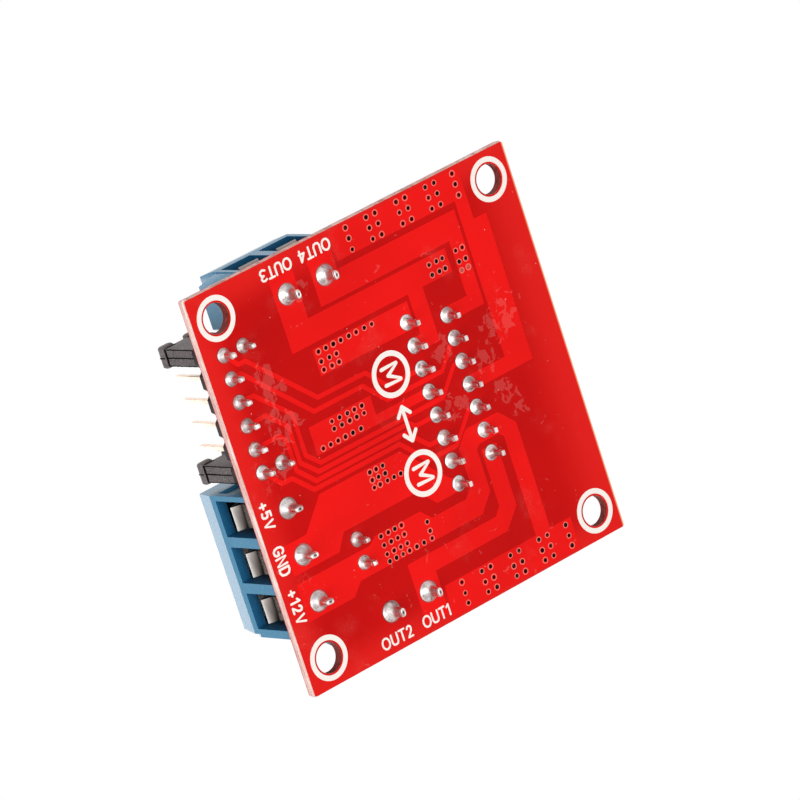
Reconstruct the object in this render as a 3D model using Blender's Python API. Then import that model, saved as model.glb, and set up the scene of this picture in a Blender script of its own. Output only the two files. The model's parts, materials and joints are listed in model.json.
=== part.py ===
"""Dual bridge motor driver module on a square red circuit board, components up.

Metres, +Z up. The origin is the centre of the board's solder face, the wire
side of the power terminal looks along -Y and the heat sink stands at +Y.
"""

import math

import bmesh
import bpy
from mathutils import Matrix, Vector

# Clearances
SEAT_GAP = 0.00005
SLIDE_GAP = 0.0001
DRILL_GAP = 0.0001

# Circuit board
BOARD_SIDE = 0.043
BOARD_THICK = 0.001
BOARD_CORNER = 0.0004
SCORE_OUT = 0.00012
SCORE_RISE = 0.0003
FIXING_DIAMETER = 0.0032
FIXING_INSET = 0.003
FIXING_LAND = 0.0056
CENTRE_LAND_SIDE = 0.007
CENTRE_LAND_FRONT = 0.009
CENTRE_LAND_BACK = 0.002

# Pins and their solder joints
PITCH = 0.00254
PIN_WIDTH = 0.00064
PIN_ABOVE_BOARD = 0.0084
PIN_REACH = 0.0021
PIN_TAPER = 0.0003
HEADER_PAD_RADIUS = 0.0008
HEADER_SOLDER_DEPTH = 0.00085

# Control header with its two enable jumpers
CONTROL_PINS = 6
CONTROL_FROM_SIDE = 0.00677
CONTROL_FROM_FRONT = 0.00245
HEADER_BASE_WIDTH = 0.0025
HEADER_BASE_HEIGHT = 0.0025
HEADER_BASE_CORNER = 0.0006

# Supply header
SUPPLY_FROM_SIDE = 0.011375
SUPPLY_FROM_FRONT = 0.0107

# Jumper caps
CAP_WIDTH = 0.002
CAP_LENGTH = 0.00464
CAP_HEIGHT = 0.0059
CAP_DIP = 0.00085
CAP_ARCH = 0.00015
CAP_SLOT_WIDTH = 0.0009
CAP_SLOT_LENGTH = 0.0037
COLLAR_WIDTH = 0.0023
COLLAR_PROUD = 0.00015
COLLAR_DEPTH = 0.00165
COLLAR_HEIGHT = 0.00095

# Screw terminals, measured from the pin row with the wire side at -Y
POLE_PITCH = 0.00508
POWER_POLE_COUNT = 3
MOTOR_POLE_COUNT = 2
POWER_FROM_SIDE = 0.01392
POWER_FROM_FRONT = 0.004
MOTOR_FROM_SIDE = 0.0041
MOTOR_FROM_FRONT = 0.0145
TERMINAL_FRONT = -0.00338
TERMINAL_DEPTH = 0.0076
SHOULDER_HEIGHT = 0.00686
SHOULDER_IN = 0.00061
SHOULDER_END_IN = 0.00015
BACK_IN = 0.0003
WINDOW_WIDTH = 0.00394
WINDOW_SILL = 0.0009
WINDOW_LINTEL = 0.00607
LINTEL_THICK = 0.0012
SILL_THICK = 0.0018
BACK_WALL = 0.0012
ROOF_THICK = 0.00123
WELL_DIAMETER = 0.0039
PANEL_BORDER = 0.0007
PANEL_DEPTH = 0.0003
RIB_PROUD = 0.0004
RIB_FOOT = 0.0007
RIB_FRONT_IN = 0.0001
RIB_SLOPE_IN = 0.0014
RIB_SLOPE_DROP = 0.00076
RIB_BACK_IN = 0.00105
RIB_DRAFT = 0.0004

# Clamping screw
SCREW_Y = 0.0002
SCREW_HEAD_DIAMETER = 0.0035
SCREW_HEAD_HEIGHT = 0.0011
SCREW_BELOW_TOP = 0.00013
SCREW_SHANK_DIAMETER = 0.0024
SCREW_SLOT_WIDTH = 0.0007
SCREW_SLOT_DEPTH = 0.0006

# Rising cage
CAGE_HALF_WIDTH = 0.00165
CAGE_DEPTH = 0.0036
CAGE_WALL = 0.00035
CAGE_YOKE = 0.00055
CAGE_JAW_TOP = 0.0044
CAGE_JAW = 0.0004
CAGE_INNER_HEIGHT = 0.00245
CAGE_DOWN = 0.0009
CAGE_UP = 0.0007
LIP_HALF_WIDTH = 0.0013
LIP_THICK = 0.00035
LIP_NOSE_Y = -0.00325
LIP_CURL = 0.00026
LIP_SETBACK = 0.00085
APRON_LENGTH = 0.0014

# Contact strip and its solder pin
CONTACT_HALF_WIDTH = 0.0012
CONTACT_THICK = 0.00065
CONTACT_FOOT = 0.00055
CONTACT_LEG = 0.0006
CONTACT_FRONT = -0.0014
TERMINAL_PIN_HALF = 0.0005
TERMINAL_PAD_RADIUS = 0.00115
TERMINAL_SOLDER_DEPTH = 0.0013

# Driver chip, upright, with two rows of leads
CHIP_X = 0.0001
CHIP_LEADS = 15
LEAD_PITCH = 0.00127
LEAD_WIDTH = 0.0007
LEAD_THICK = 0.0005
FAR_ROW_FROM_BACK = 0.01825
NEAR_ROW_FROM_BACK = 0.0132
LEAD_EXIT_IN = 0.00205
FAR_BEND_HEIGHT = 0.0028
NEAR_BEND_HEIGHT = 0.0017
LEAD_PAD_RADIUS = 0.0009
LEAD_SOLDER_DEPTH = 0.00095
CHIP_BOTTOM = 0.0036
CHIP_END = 0.00101
CHIP_WIDTH = (CHIP_LEADS - 1) * LEAD_PITCH + 2 * CHIP_END
CHIP_HEIGHT = 0.0107
CHIP_FROM_BACK = 0.01365
CHIP_THICK = 0.0034
CHIP_DRAFT = 0.0003
TAB_ABOVE_BODY = 0.0068
TAB_THICK = 0.0016
TAB_PROUD = 0.0002
TAB_WIDTH = CHIP_WIDTH + 2 * TAB_PROUD
TAB_CORNER = 0.0016
TAB_HOLE_DIAMETER = 0.0038
TAB_HOLE_BELOW_TOP = 0.0028

# Heat sink and its screw
SINK_WIDTH = 0.0232
SINK_HEIGHT = 0.025
SINK_ABOVE_BOARD = 0.0003
SINK_BASE = 0.002
SINK_BOSS = 0.0052
SINK_DEPTH = 0.0085
FIN_THICK = 0.0011
FIN_OFFSETS = (0.00245, 0.00532, 0.00819)
SINK_BORE_DIAMETER = 0.0032
SINK_BORE_DEPTH = 0.0047
SINK_SCREW_DIAMETER = 0.0029
SINK_SCREW_LENGTH = 0.0058
SINK_SCREW_HEAD_DIAMETER = 0.0056
SINK_SCREW_HEAD_HEIGHT = 0.0022
CROSS_WIDTH = 0.0007
CROSS_LENGTH = 0.0029
CROSS_DEPTH = 0.0012

# Smoothing capacitors
CAPACITOR_APART = 0.0171
LEFT_CAPACITOR_FROM_FRONT = 0.0173
RIGHT_CAPACITOR_FROM_FRONT = 0.0145
CAN_RADIUS = 0.004
CAN_HEIGHT = 0.0096
CAN_EDGE = 0.0006
CAN_CRIMP_HEIGHT = 0.0016
CAN_CRIMP_DEPTH = 0.00025
CAN_BASE_SIDE = 0.0083
CAN_BASE_HEIGHT = 0.0011
CAN_BASE_CORNER = 0.0018

# Voltage regulator
REGULATOR_FROM_FRONT = 0.0152
REGULATOR_WIDTH = 0.0066
REGULATOR_LENGTH = 0.0061
REGULATOR_HEIGHT = 0.0023
REGULATOR_TAB_WIDTH = 0.0052
REGULATOR_TAB_LENGTH = 0.0011
REGULATOR_METAL = 0.0005
REGULATOR_LEAD_OFFSET = 0.00228
REGULATOR_LEAD_WIDTH = 0.00075
REGULATOR_LEAD_LENGTH = 0.0027

# Diodes, four along each side
DIODE_FROM_SIDE = 0.0042
DIODE_FROM_BACK = 0.0084
DIODE_STEP = 0.004
DIODES_A_SIDE = 4
DIODE_LENGTH = 0.0043
DIODE_WIDTH = 0.0026
DIODE_HEIGHT = 0.0022
DIODE_SPAN = 0.0052
DIODE_STRAP_WIDTH = 0.0015
DIODE_STRAP_THICK = 0.00025
DIODE_STRAP_HEIGHT = 0.0012
DIODE_DRAFT = 0.0002

# Power lamp and chip resistors
SMALL_ROW_FROM_FRONT = 0.0217
SMALL_LENGTH = 0.002
SMALL_WIDTH = 0.00125
LAMP_ACROSS = 0.0026
LAMP_HEIGHT = 0.0008
RESISTOR_ACROSS = (-0.0046, -0.0012, 0.0062)
RESISTOR_HEIGHT = 0.0005

# Finishes: base colour, roughness, metallic
FINISHES = {
    "board_red": ((0.60, 0.012, 0.010), 0.35, 0.0),
    "terminal_blue": ((0.06, 0.27, 0.55), 0.45, 0.0),
    "header_black": ((0.02, 0.02, 0.02), 0.5, 0.0),
    "cap_black": ((0.03, 0.028, 0.028), 0.55, 0.0),
    "pin_gold": ((0.83, 0.70, 0.42), 0.3, 1.0),
    "tinned": ((0.70, 0.69, 0.67), 0.35, 1.0),
    "nickel": ((0.62, 0.58, 0.53), 0.38, 1.0),
    "epoxy_black": ((0.018, 0.018, 0.018), 0.6, 0.0),
    "sink_black": ((0.012, 0.012, 0.013), 0.42, 0.6),
    "can_aluminium": ((0.80, 0.80, 0.80), 0.3, 1.0),
    "lamp_red": ((0.75, 0.05, 0.03), 0.25, 0.0),
}


def clear_scene():
    """Take every object out of the open file."""
    for thing in list(bpy.data.objects):
        bpy.data.objects.remove(thing, do_unlink=True)


def finish(name):
    """The Principled material of one finish, made once."""
    found = bpy.data.materials.get(name)
    if found:
        return found
    colour, roughness, metallic = FINISHES[name]
    made = bpy.data.materials.new(name)
    made.use_nodes = True
    shader = made.node_tree.nodes["Principled BSDF"]
    shader.inputs["Base Color"].default_value = (*colour, 1.0)
    shader.inputs["Roughness"].default_value = roughness
    shader.inputs["Metallic"].default_value = metallic
    return made


def loft(rings):
    """A closed skin through rings of equal point counts, capped at both ends."""
    shape = bmesh.new()
    rows = [[shape.verts.new(point) for point in ring] for ring in rings]
    for near, far in zip(rows, rows[1:]):
        for i in range(len(near)):
            j = (i + 1) % len(near)
            shape.faces.new((near[i], near[j], far[j], far[i]))
    shape.faces.new(rows[0])
    shape.faces.new(rows[-1])
    bmesh.ops.recalc_face_normals(shape, faces=shape.faces)
    return shape


def prism(outline, start, end, axis="Z"):
    """An outline pushed along one axis; its points are the other two coordinates in order."""
    places = {
        "X": lambda a, b, along: (along, a, b),
        "Y": lambda a, b, along: (a, along, b),
        "Z": lambda a, b, along: (a, b, along),
    }
    place = places[axis]
    return loft([[place(a, b, along) for a, b in outline] for along in (start, end)])


def box(low, high):
    """A block between two corners."""
    outline = [(low[0], low[1]), (high[0], low[1]), (high[0], high[1]), (low[0], high[1])]
    return prism(outline, low[2], high[2])


def circle_points(radius, count, centre=(0.0, 0.0)):
    """Points round a circle, the first along the first axis."""
    turns = [2 * math.pi * i / count for i in range(count)]
    return [(centre[0] + radius * math.cos(t), centre[1] + radius * math.sin(t)) for t in turns]


def cut_corner_points(half_a, half_b, cut):
    """A rectangle with its four corners cut off."""
    return [
        (half_a, -half_b + cut),
        (half_a, half_b - cut),
        (half_a - cut, half_b),
        (-half_a + cut, half_b),
        (-half_a, half_b - cut),
        (-half_a, -half_b + cut),
        (-half_a + cut, -half_b),
        (half_a - cut, -half_b),
    ]


def eight_points(half_a, half_b):
    """A rectangle's corners and side middles, to join with a ring of eight."""
    signs = ((1, 0), (1, 1), (0, 1), (-1, 1), (-1, 0), (-1, -1), (0, -1), (1, -1))
    return [(half_a * a, half_b * b) for a, b in signs]


def level(points, height):
    """Flat points lifted to a height."""
    return [(a, b, height) for a, b in points]


def turned(profile, count):
    """A shape of revolution about Z through (radius, height) pairs."""
    return loft([level(circle_points(radius, count), height) for radius, height in profile])


def divide(shape, place, across):
    """An edge all round the shape where a plane crosses it, so that flat lands are faces of their own."""
    everything = [*shape.verts, *shape.edges, *shape.faces]
    bmesh.ops.bisect_plane(shape, geom=everything, plane_co=place, plane_no=across)


def gathered(shapes):
    """Several separate shapes in one mesh, to cut with in one go."""
    everything = bmesh.new()
    for shape in shapes:
        part = mesh_of("gathered_part", shape)
        everything.from_mesh(part)
        bpy.data.meshes.remove(part)
    return everything


def mesh_of(name, shape):
    """A mesh holding the shape, which is used up."""
    mesh = bpy.data.meshes.new(name)
    shape.to_mesh(mesh)
    shape.free()
    return mesh


def combined(name, shape, joined=(), cut=()):
    """The mesh of a shape after exact unions and cuts, with no helper left behind."""
    base = bpy.data.objects.new(name, mesh_of(name, shape))
    bpy.context.scene.collection.objects.link(base)
    helpers = []
    steps = [(other, "UNION") for other in joined] + [(other, "DIFFERENCE") for other in cut]
    for other, operation in steps:
        helper = bpy.data.objects.new("helper", mesh_of("helper", other))
        bpy.context.scene.collection.objects.link(helper)
        helpers.append(helper)
        step = base.modifiers.new(operation, "BOOLEAN")
        step.operation = operation
        step.solver = "EXACT"
        step.object = helper
    seen = base.evaluated_get(bpy.context.evaluated_depsgraph_get())
    result = bpy.data.meshes.new_from_object(seen)
    result.name = name
    for helper in [base, *helpers]:
        old = helper.data
        bpy.data.objects.remove(helper, do_unlink=True)
        bpy.data.meshes.remove(old)
    return result


def piece(name, mesh, surface, place=(0.0, 0.0, 0.0), parent=None, smooth=False):
    """One named object of the module."""
    made = bpy.data.objects.new(name, mesh)
    bpy.context.scene.collection.objects.link(made)
    made.location = place
    made.parent = parent
    if not mesh.materials:
        mesh.materials.append(finish(surface))
    if smooth:
        mesh.shade_smooth()
        mesh.set_sharp_from_angle(angle=math.radians(40))
    return made


def frame_at(name, place, turn=0.0):
    """An empty that carries the pieces of one assembly."""
    made = bpy.data.objects.new(name, None)
    bpy.context.scene.collection.objects.link(made)
    made.location = place
    made.rotation_euler = (0.0, 0.0, turn)
    return made


def pole_offsets(count, pitch):
    """Places of equally spaced things either side of zero."""
    return [(i - (count - 1) / 2) * pitch for i in range(count)]


def from_front(distance):
    """A place along Y, measured in from the board's front edge."""
    return distance - BOARD_SIDE / 2


def from_back(distance):
    """A place along Y, measured in from the board's back edge."""
    return BOARD_SIDE / 2 - distance


def from_side(distance):
    """A place along X on the right half, measured in from the board's side edge."""
    return BOARD_SIDE / 2 - distance


def lead_spots():
    """The driver chip's leads through the board, alternately in the far and the near row."""
    spots = []
    for i, across in enumerate(reversed(pole_offsets(CHIP_LEADS, LEAD_PITCH))):
        row = FAR_ROW_FROM_BACK if i % 2 == 0 else NEAR_ROW_FROM_BACK
        spots.append((CHIP_X + across, from_back(row)))
    return spots


def control_spots():
    """The six pins of the control header."""
    first = from_side(CONTROL_FROM_SIDE)
    return [(first - i * PITCH, from_front(CONTROL_FROM_FRONT)) for i in range(CONTROL_PINS)]


def enable_spots():
    """The single pins behind the first and the last control pin."""
    row = control_spots()
    return [(spot[0], spot[1] + PITCH) for spot in (row[0], row[-1])]


def supply_spots():
    """The two pins of the supply header."""
    middle = -from_side(SUPPLY_FROM_SIDE)
    row = from_front(SUPPLY_FROM_FRONT)
    return [(middle + offset, row) for offset in pole_offsets(2, PITCH)]


def terminal_spots():
    """Every terminal pin through the board."""
    middle = -from_side(POWER_FROM_SIDE)
    row = from_front(POWER_FROM_FRONT)
    power = [(middle + offset, row) for offset in pole_offsets(POWER_POLE_COUNT, POLE_PITCH)]
    motor = []
    for side in (-1, 1):
        for offset in pole_offsets(MOTOR_POLE_COUNT, POLE_PITCH):
            motor.append((side * from_side(MOTOR_FROM_SIDE), from_front(MOTOR_FROM_FRONT) + offset))
    return power + motor


def make_board():
    """The scored and broken edge, the drilled holes and the chip resistors soldered flat on top."""
    half = BOARD_SIDE / 2
    inner = cut_corner_points(half, half, BOARD_CORNER)
    outer = cut_corner_points(half + SCORE_OUT, half + SCORE_OUT, BOARD_CORNER)
    levels = (
        (inner, 0.0),
        (outer, SCORE_RISE),
        (outer, BOARD_THICK - SCORE_RISE),
        (inner, BOARD_THICK),
    )
    plate = loft([level(points, height) for points, height in levels])
    land = half - FIXING_LAND
    for line in (-land, -CENTRE_LAND_SIDE, CENTRE_LAND_SIDE, land):
        divide(plate, (line, 0.0, 0.0), (1.0, 0.0, 0.0))
    for line in (-land, -CENTRE_LAND_FRONT, CENTRE_LAND_BACK, land):
        divide(plate, (0.0, line, 0.0), (0.0, 1.0, 0.0))
    below = -BOARD_THICK
    above = 2 * BOARD_THICK
    corner = half - FIXING_INSET
    fixings = []
    for x, y in ((-corner, -corner), (corner, -corner), (corner, corner), (-corner, corner)):
        fixings.append(prism(circle_points(FIXING_DIAMETER / 2, 24, (x, y)), below, above))
    pin_drill = math.hypot(PIN_WIDTH, PIN_WIDTH) / 2 + DRILL_GAP
    lead_drill = math.hypot(LEAD_WIDTH, LEAD_THICK) / 2 + DRILL_GAP
    terminal_drill = math.sqrt(2) * TERMINAL_PIN_HALF + DRILL_GAP
    drilled = [(spot, pin_drill) for spot in control_spots() + enable_spots() + supply_spots()]
    drilled += [(spot, lead_drill) for spot in lead_spots()]
    drilled += [(spot, terminal_drill) for spot in terminal_spots()]
    holes = [prism(circle_points(radius, 8, spot), below, above) for spot, radius in drilled]
    resistors = []
    row = from_front(SMALL_ROW_FROM_FRONT)
    for x in RESISTOR_ACROSS:
        low = (x - SMALL_LENGTH / 2, row - SMALL_WIDTH / 2, BOARD_THICK / 2)
        high = (x + SMALL_LENGTH / 2, row + SMALL_WIDTH / 2, BOARD_THICK + RESISTOR_HEIGHT)
        resistors.append(box(low, high))
    mesh = combined("circuit_board", plate, [gathered(resistors)], [gathered(fixings + holes)])
    piece("circuit_board", mesh, "board_red")


def soldered_pin(half_a, half_b, top, pad_radius, solder_depth):
    """A pin from its top through the board to its tip, with the solder joint under the board."""
    shank = eight_points(half_a, half_b)
    tip = eight_points(half_a / 2, half_b / 2)
    rings = [
        level(tip, top),
        level(shank, top - PIN_TAPER),
        level(shank, -SEAT_GAP),
        level(circle_points(pad_radius, 8), -SEAT_GAP),
        level(circle_points(pad_radius * 0.8, 8), -solder_depth * 0.5),
        level(shank, -solder_depth),
        level(shank, PIN_TAPER - PIN_REACH),
        level(tip, -PIN_REACH),
    ]
    return loft(rings)


def header_base(count):
    """A row of moulded segments with their corners cut, pierced for the pins, along X."""
    half = PITCH / 2
    width = HEADER_BASE_WIDTH / 2
    cut = HEADER_BASE_CORNER
    front = []
    back = []
    for offset in pole_offsets(count, PITCH):
        front += [(offset - half, -width + cut), (offset - half + cut, -width)]
        front += [(offset + half - cut, -width)]
        back += [(offset - half, width - cut), (offset - half + cut, width)]
        back += [(offset + half - cut, width)]
    last = pole_offsets(count, PITCH)[-1] + half
    outline = front + [(last, -width + cut), (last, width - cut)] + back[::-1]
    body = prism(outline, SEAT_GAP, HEADER_BASE_HEIGHT)
    hole = PIN_WIDTH / 2 + SEAT_GAP
    holes = []
    for offset in pole_offsets(count, PITCH):
        low = (offset - hole, -hole, -HEADER_BASE_HEIGHT)
        high = (offset + hole, hole, 2 * HEADER_BASE_HEIGHT)
        holes.append(box(low, high))
    return combined("header_base", body, cut=[gathered(holes)])


def jumper_cap():
    """A push-on link housing along Y with a collar round each end and an arched top between them."""
    half = CAP_LENGTH / 2
    arch_steps = 6
    outline = [(-half, 0.0), (half, 0.0)]
    for i in range(arch_steps + 1):
        along = half * (1 - 2 * i / arch_steps)
        rise = CAP_ARCH * math.cos(math.pi / 2 * along / half)
        outline.append((along, CAP_HEIGHT - CAP_DIP + rise))
    body = prism(outline, -CAP_WIDTH / 2, CAP_WIDTH / 2, "X")
    collars = []
    for side in (-1, 1):
        ends = sorted((side * (half + COLLAR_PROUD), side * (half + COLLAR_PROUD - COLLAR_DEPTH)))
        low = (-COLLAR_WIDTH / 2, ends[0], CAP_HEIGHT - COLLAR_HEIGHT)
        high = (COLLAR_WIDTH / 2, ends[1], CAP_HEIGHT)
        collars.append(box(low, high))
    slot_low = (-CAP_SLOT_WIDTH / 2, -CAP_SLOT_LENGTH / 2, -CAP_HEIGHT)
    slot_high = (CAP_SLOT_WIDTH / 2, CAP_SLOT_LENGTH / 2, 2 * CAP_HEIGHT)
    return combined("jumper_cap", body, [gathered(collars)], [box(slot_low, slot_high)])


def make_headers():
    """The control, enable and supply headers with their pins and jumpers."""
    control = control_spots()
    middle = (control[0][0] + control[-1][0]) / 2
    piece("control_header_base", header_base(CONTROL_PINS), "header_black",
          (middle, control[0][1], BOARD_THICK))
    single = header_base(1)
    for i, (x, y) in enumerate(enable_spots(), 1):
        piece(f"enable_header_base_{i}", single, "header_black", (x, y, BOARD_THICK))
    supply = supply_spots()
    link = ((supply[0][0] + supply[1][0]) / 2, supply[0][1])
    piece("supply_header_base", header_base(2), "header_black", (*link, BOARD_THICK))
    half = PIN_WIDTH / 2
    top = BOARD_THICK + PIN_ABOVE_BOARD
    pin = mesh_of("header_pin", soldered_pin(half, half, top, HEADER_PAD_RADIUS, HEADER_SOLDER_DEPTH))
    rows = (("control", control), ("enable", enable_spots()), ("supply", supply))
    for row, spots in rows:
        for i, (x, y) in enumerate(spots, 1):
            piece(f"{row}_header_pin_{i}", pin, "pin_gold", (x, y, 0.0))
    cap = jumper_cap()
    foot = BOARD_THICK + HEADER_BASE_HEIGHT + SEAT_GAP
    for i, (x, y) in enumerate(enable_spots(), 1):
        piece(f"enable_jumper_{i}", cap, "cap_black", (x, y - PITCH / 2, foot))
    across = piece("supply_jumper", cap, "cap_black", (*link, foot))
    across.rotation_euler = (0.0, 0.0, math.pi / 2)


def cage_top():
    """Upper face of the cage's yoke at rest."""
    return CAGE_JAW_TOP + CAGE_INNER_HEIGHT + CAGE_YOKE


def chamber_ceiling():
    """The raised cage stops just under the ceiling of its chamber."""
    return cage_top() + CAGE_UP + SLIDE_GAP


def terminal_height():
    """The housing's top, over the chamber's roof."""
    return chamber_ceiling() + ROOF_THICK


def terminal_rib(end, inner):
    """The raised rib on one end, whose back flank slants so that it slides into the next block."""
    front = TERMINAL_FRONT + RIB_FRONT_IN
    top = terminal_height() - SEAT_GAP
    rings = []
    for x, back_in in ((end - RIB_PROUD, RIB_BACK_IN + RIB_DRAFT), (end, RIB_BACK_IN), (inner, RIB_BACK_IN)):
        back = TERMINAL_FRONT + TERMINAL_DEPTH - back_in
        side = [
            (front, RIB_FOOT),
            (back, RIB_FOOT),
            (back, top),
            (front + RIB_SLOPE_IN, top),
            (front, SHOULDER_HEIGHT - RIB_SLOPE_DROP),
        ]
        rings.append([(x, y, z) for y, z in side])
    return loft(rings)


def terminal_housing(poles):
    """A moulded block with a sloping shoulder, a window and chamber for each pole and a screw well."""
    half = poles * POLE_PITCH / 2
    front = TERMINAL_FRONT
    back = TERMINAL_FRONT + TERMINAL_DEPTH

    def plan(end_in, front_in, back_in):
        left = -half + end_in
        right = half - end_in
        near = front + front_in
        far = back - back_in
        return [(left, near), (right, near), (right, far), (left, far)]

    block = loft([
        level(plan(0.0, 0.0, 0.0), SEAT_GAP),
        level(plan(0.0, 0.0, 0.0), SHOULDER_HEIGHT),
        level(plan(SHOULDER_END_IN, SHOULDER_IN, BACK_IN), terminal_height()),
    ])
    ceiling = chamber_ceiling()
    chamber = [
        (front - LINTEL_THICK, WINDOW_SILL),
        (front + SILL_THICK, WINDOW_SILL),
        (front + SILL_THICK, -WINDOW_SILL),
        (back - BACK_WALL, -WINDOW_SILL),
        (back - BACK_WALL, ceiling),
        (front + LINTEL_THICK, ceiling),
        (front + LINTEL_THICK, WINDOW_LINTEL),
        (front - LINTEL_THICK, WINDOW_LINTEL),
    ]
    chambers = []
    wells = []
    for offset in pole_offsets(poles, POLE_PITCH):
        side = WINDOW_WIDTH / 2
        chambers.append(prism(chamber, offset - side, offset + side, "X"))
        rim = circle_points(WELL_DIAMETER / 2, 20, (offset, SCREW_Y))
        wells.append(prism(rim, ceiling - ROOF_THICK, terminal_height() + ROOF_THICK))
    panel = box(
        (half - PANEL_DEPTH, front + PANEL_BORDER, PANEL_BORDER),
        (half + PANEL_DEPTH, back - PANEL_BORDER, SHOULDER_HEIGHT - PANEL_BORDER),
    )
    wall = (POLE_PITCH - WINDOW_WIDTH) / 2
    rib = terminal_rib(-half, -half + wall / 2)
    cuts = [gathered(chambers), gathered(wells), panel]
    return combined("terminal_housing", block, [rib], cuts)


def terminal_screw():
    """A slotted cheese-head screw about its own axis, its head's top at zero."""
    shank = SCREW_SHANK_DIAMETER / 2
    head = SCREW_HEAD_DIAMETER / 2
    edge = SCREW_SLOT_WIDTH / 4
    tip = screw_tip_height() - screw_top_height()
    profile = [
        (shank - edge, tip),
        (shank, tip + edge),
        (shank, -SCREW_HEAD_HEIGHT),
        (head, -SCREW_HEAD_HEIGHT),
        (head, -edge),
        (head - edge, 0.0),
    ]
    wide = SCREW_HEAD_DIAMETER
    slot = box((-wide, -SCREW_SLOT_WIDTH / 2, -SCREW_SLOT_DEPTH), (wide, SCREW_SLOT_WIDTH / 2, wide))
    return combined("terminal_screw", turned(profile, 14), cut=[slot])


def contact_top():
    """Upper face of the fixed contact: the raised jaw stops just under its lower face."""
    return CAGE_JAW_TOP + CAGE_UP + SLIDE_GAP + CONTACT_THICK


def screw_tip_height():
    """The screw bears on the contact."""
    return contact_top() + SLIDE_GAP


def screw_top_height():
    """Top of the screw head, a little below the housing's top."""
    return terminal_height() - SCREW_BELOW_TOP


def terminal_cage():
    """A folded cage that rises on the screw, with a curved lip and apron under the wire."""
    low = CAGE_JAW_TOP - CAGE_JAW
    high = cage_top()
    near = SCREW_Y - CAGE_DEPTH / 2
    far = SCREW_Y + CAGE_DEPTH / 2
    tube = box((-CAGE_HALF_WIDTH, near, low), (CAGE_HALF_WIDTH, far, high))
    inside = CAGE_HALF_WIDTH - CAGE_WALL
    passage = box((-inside, near - CAGE_WALL, CAGE_JAW_TOP), (inside, far + CAGE_WALL, high - CAGE_YOKE))
    thread = prism(
        circle_points(SCREW_SHANK_DIAMETER / 2 + SLIDE_GAP, 14, (0.0, SCREW_Y)),
        high - 2 * CAGE_YOKE,
        high + CAGE_YOKE,
    )
    spine = CAGE_JAW_TOP - CAGE_JAW / 2
    nose = LIP_NOSE_Y + LIP_THICK / 2
    apron = nose + LIP_SETBACK
    fold = spine - LIP_SETBACK
    path = [
        (near + CAGE_WALL, spine),
        (nose + LIP_CURL, spine),
        (nose, spine - LIP_CURL),
        (apron, fold),
        (apron, fold - APRON_LENGTH),
    ]
    lip = prism(band(path, LIP_THICK), -LIP_HALF_WIDTH, LIP_HALF_WIDTH, "X")
    return combined("terminal_cage", tube, [lip], [passage, thread])


def band(path, thick):
    """The outline of a strip of even thickness along a flat path."""
    steps = [(Vector(b) - Vector(a)).normalized() for a, b in zip(path, path[1:])]
    left = []
    right = []
    for i, point in enumerate(path):
        before = steps[max(i - 1, 0)]
        after = steps[min(i, len(steps) - 1)]
        across = Vector((-(before + after).y, (before + after).x)).normalized()
        reach = thick / 2 / max(across.dot(Vector((-after.y, after.x))), 0.5)
        left.append(tuple(Vector(point) + across * reach))
        right.append(tuple(Vector(point) - across * reach))
    return left + right[::-1]


def terminal_contact():
    """A folded contact strip, its leg behind the cage, fused to its solder pin."""
    top = contact_top()
    back = SCREW_Y + CAGE_DEPTH / 2 + 3 * SLIDE_GAP + CONTACT_LEG
    foot = SEAT_GAP + SLIDE_GAP
    outline = [
        (CONTACT_FRONT, top),
        (back, top),
        (back, foot),
        (-TERMINAL_PIN_HALF - SLIDE_GAP, foot),
        (-TERMINAL_PIN_HALF - SLIDE_GAP, foot + CONTACT_FOOT),
        (back - CONTACT_LEG, foot + CONTACT_FOOT),
        (back - CONTACT_LEG, top - CONTACT_THICK),
        (CONTACT_FRONT, top - CONTACT_THICK),
    ]
    strip = prism(outline, -CONTACT_HALF_WIDTH, CONTACT_HALF_WIDTH, "X")
    pin = soldered_pin(
        TERMINAL_PIN_HALF,
        TERMINAL_PIN_HALF,
        BOARD_THICK + foot + CONTACT_FOOT - SEAT_GAP,
        TERMINAL_PAD_RADIUS,
        TERMINAL_SOLDER_DEPTH,
    )
    bmesh.ops.translate(pin, verts=pin.verts, vec=(0.0, 0.0, -BOARD_THICK))
    return combined("terminal_contact", strip, [pin])


def make_terminals():
    """The three-pole power terminal and the two-pole motor terminals at the sides."""
    screw = terminal_screw()
    cage = terminal_cage()
    contact = terminal_contact()
    motor_housing = terminal_housing(MOTOR_POLE_COUNT)
    quarter = math.pi / 2
    motor_x = from_side(MOTOR_FROM_SIDE)
    motor_y = from_front(MOTOR_FROM_FRONT)
    plan = (
        ("power_terminal", POWER_POLE_COUNT, (-from_side(POWER_FROM_SIDE), from_front(POWER_FROM_FRONT)),
         0.0, terminal_housing(POWER_POLE_COUNT)),
        ("left_terminal", MOTOR_POLE_COUNT, (-motor_x, motor_y), -quarter, motor_housing),
        ("right_terminal", MOTOR_POLE_COUNT, (motor_x, motor_y), quarter, motor_housing),
    )
    for name, poles, spot, turn, housing in plan:
        carrier = frame_at(f"{name}_place", (*spot, BOARD_THICK), turn)
        piece(f"{name}_housing", housing, "terminal_blue", parent=carrier)
        for i, offset in enumerate(pole_offsets(poles, POLE_PITCH), 1):
            piece(f"{name}_screw_{i}", screw, "nickel",
                  (offset, SCREW_Y, screw_top_height()), carrier, smooth=True)
            piece(f"{name}_cage_{i}", cage, "nickel", (offset, 0.0, 0.0), carrier)
            piece(f"{name}_contact_{i}", contact, "tinned", (offset, 0.0, 0.0), carrier)


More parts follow.
